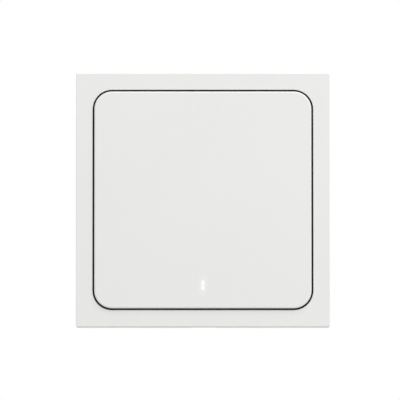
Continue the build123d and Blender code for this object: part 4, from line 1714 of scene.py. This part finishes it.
@dataclass
class Studio:
    """The pale floor, the soft light, the white surroundings and the camera.

    Attributes:
        floor_drop: How far below the switch's middle the floor lies.
        floor_clear: How far from the switch the floor starts to fade.
        floor_half: Half of the floor's width, where it has faded.
        floor_colour: Colour of the floor.
        ambient: Strength of the light from all round.
        lamp: The lamp.
        elevation: How far above the switch the camera stands, as an angle.
        distance: From the camera to the frame's face.
        shown: Width of the picture at the face.
        aside: How far the picture's middle lies to the right of the face's.
        above: How far the picture's middle lies above the face's.
    """

    floor_drop: float = 0.17
    floor_clear: float = 0.8
    floor_half: float = 2.4
    floor_colour: Colour = (0.76, 0.76, 0.76)
    ambient: float = 0.544
    lamp: Lamp = Lamp("overhead_lamp", place=(0.4, -0.65, 1.1), side=1.0, power=14.7)
    elevation: float = math.radians(-3.8)
    distance: float = 2.0
    shown: float = 135.58 * MM
    aside: float = -0.97 * MM
    above: float = -0.065 * MM

    def build(self) -> None:
        """Build the whole studio."""
        bpy.context.scene.view_settings.view_transform = "Standard"
        self.build_world()
        self.build_floor()
        self.lamp.build()
        self.build_camera()

    def build_world(self) -> None:
        """Make white surroundings that light the switch only softly."""
        world = bpy.data.worlds.new("white_room")
        world.use_nodes = True
        bench = NodeBench(world.node_tree)
        soft = bench.tree.nodes["Background"]
        bench.feed(soft.inputs["Color"], WHITE)
        bench.feed(soft.inputs["Strength"], self.ambient)
        seen = bench.add("ShaderNodeBackground", {"Color": WHITE, "Strength": 1.0})
        rays = bench.add("ShaderNodeLightPath").outputs
        direct = bench.maths("MAXIMUM", rays["Is Camera Ray"], rays["Is Glossy Ray"])
        direct = bench.maths("MAXIMUM", direct, rays["Is Transmission Ray"])
        both = {0: direct, 1: soft.outputs[0], 2: seen.outputs[0]}
        mixed = bench.add("ShaderNodeMixShader", both).outputs[0]
        bench.feed(bench.tree.nodes["World Output"].inputs["Surface"], mixed)
        bpy.context.scene.world = world

    def build_floor(self) -> None:
        """Lay the floor below the switch."""
        solid = bmesh.new()
        bmesh.ops.create_grid(solid, x_segments=1, y_segments=1, size=self.floor_half)
        mesh = plain_mesh("floor", solid)
        mesh.transform(Matrix.Translation((0.0, 0.0, -self.floor_drop)))
        mesh.materials.append(self.floor_material())
        placed("floor", mesh)

    def floor_material(self) -> bpy.types.Material:
        """Make the floor's matte paint, see-through from below and far from the switch.

        Returns:
            The material.
        """
        shading = Shading("floor_paint")
        shading.dress({"Base Color": self.floor_colour, "Roughness": 0.9, "Specular IOR Level": 0.1})
        below = shading.add("ShaderNodeNewGeometry").outputs["Backfacing"]
        away = shading.length(shading.place)
        far = shading.spread(away, (self.floor_clear, self.floor_half), (0.0, 1.0))
        clear = shading.add("ShaderNodeBsdfTransparent").outputs[0]
        inputs = {0: shading.maths("MAXIMUM", below, far), 1: shading.shader.outputs[0], 2: clear}
        mixed = shading.add("ShaderNodeMixShader", inputs).outputs[0]
        shading.feed(shading.tree.nodes["Material Output"].inputs["Surface"], mixed)
        return shading.material

    def build_camera(self) -> None:
        """Stand the camera where the photograph was taken from."""
        data = bpy.data.cameras.new("camera")
        data.lens = data.sensor_width * self.distance / self.shown
        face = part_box("front_frame")[0].y
        aim = Vector((self.aside, face, self.above))
        towards = Vector((0.0, -math.cos(self.elevation), math.sin(self.elevation)))
        camera = placed("camera", data)
        camera.location = aim + self.distance * towards
        camera.rotation_euler = (-towards).to_track_quat("-Z", "Y").to_euler()
        bpy.context.scene.camera = camera


def main() -> None:
    """Build the pieces, dress the solids and light them."""
    logging.basicConfig(level=logging.INFO, format="%(name)s: %(message)s")
    for assembly in (FrontFace(), Carrier(), Boards(), Enclosure(), Studio()):
        assembly.build()


if __name__ == "__main__":
    main()
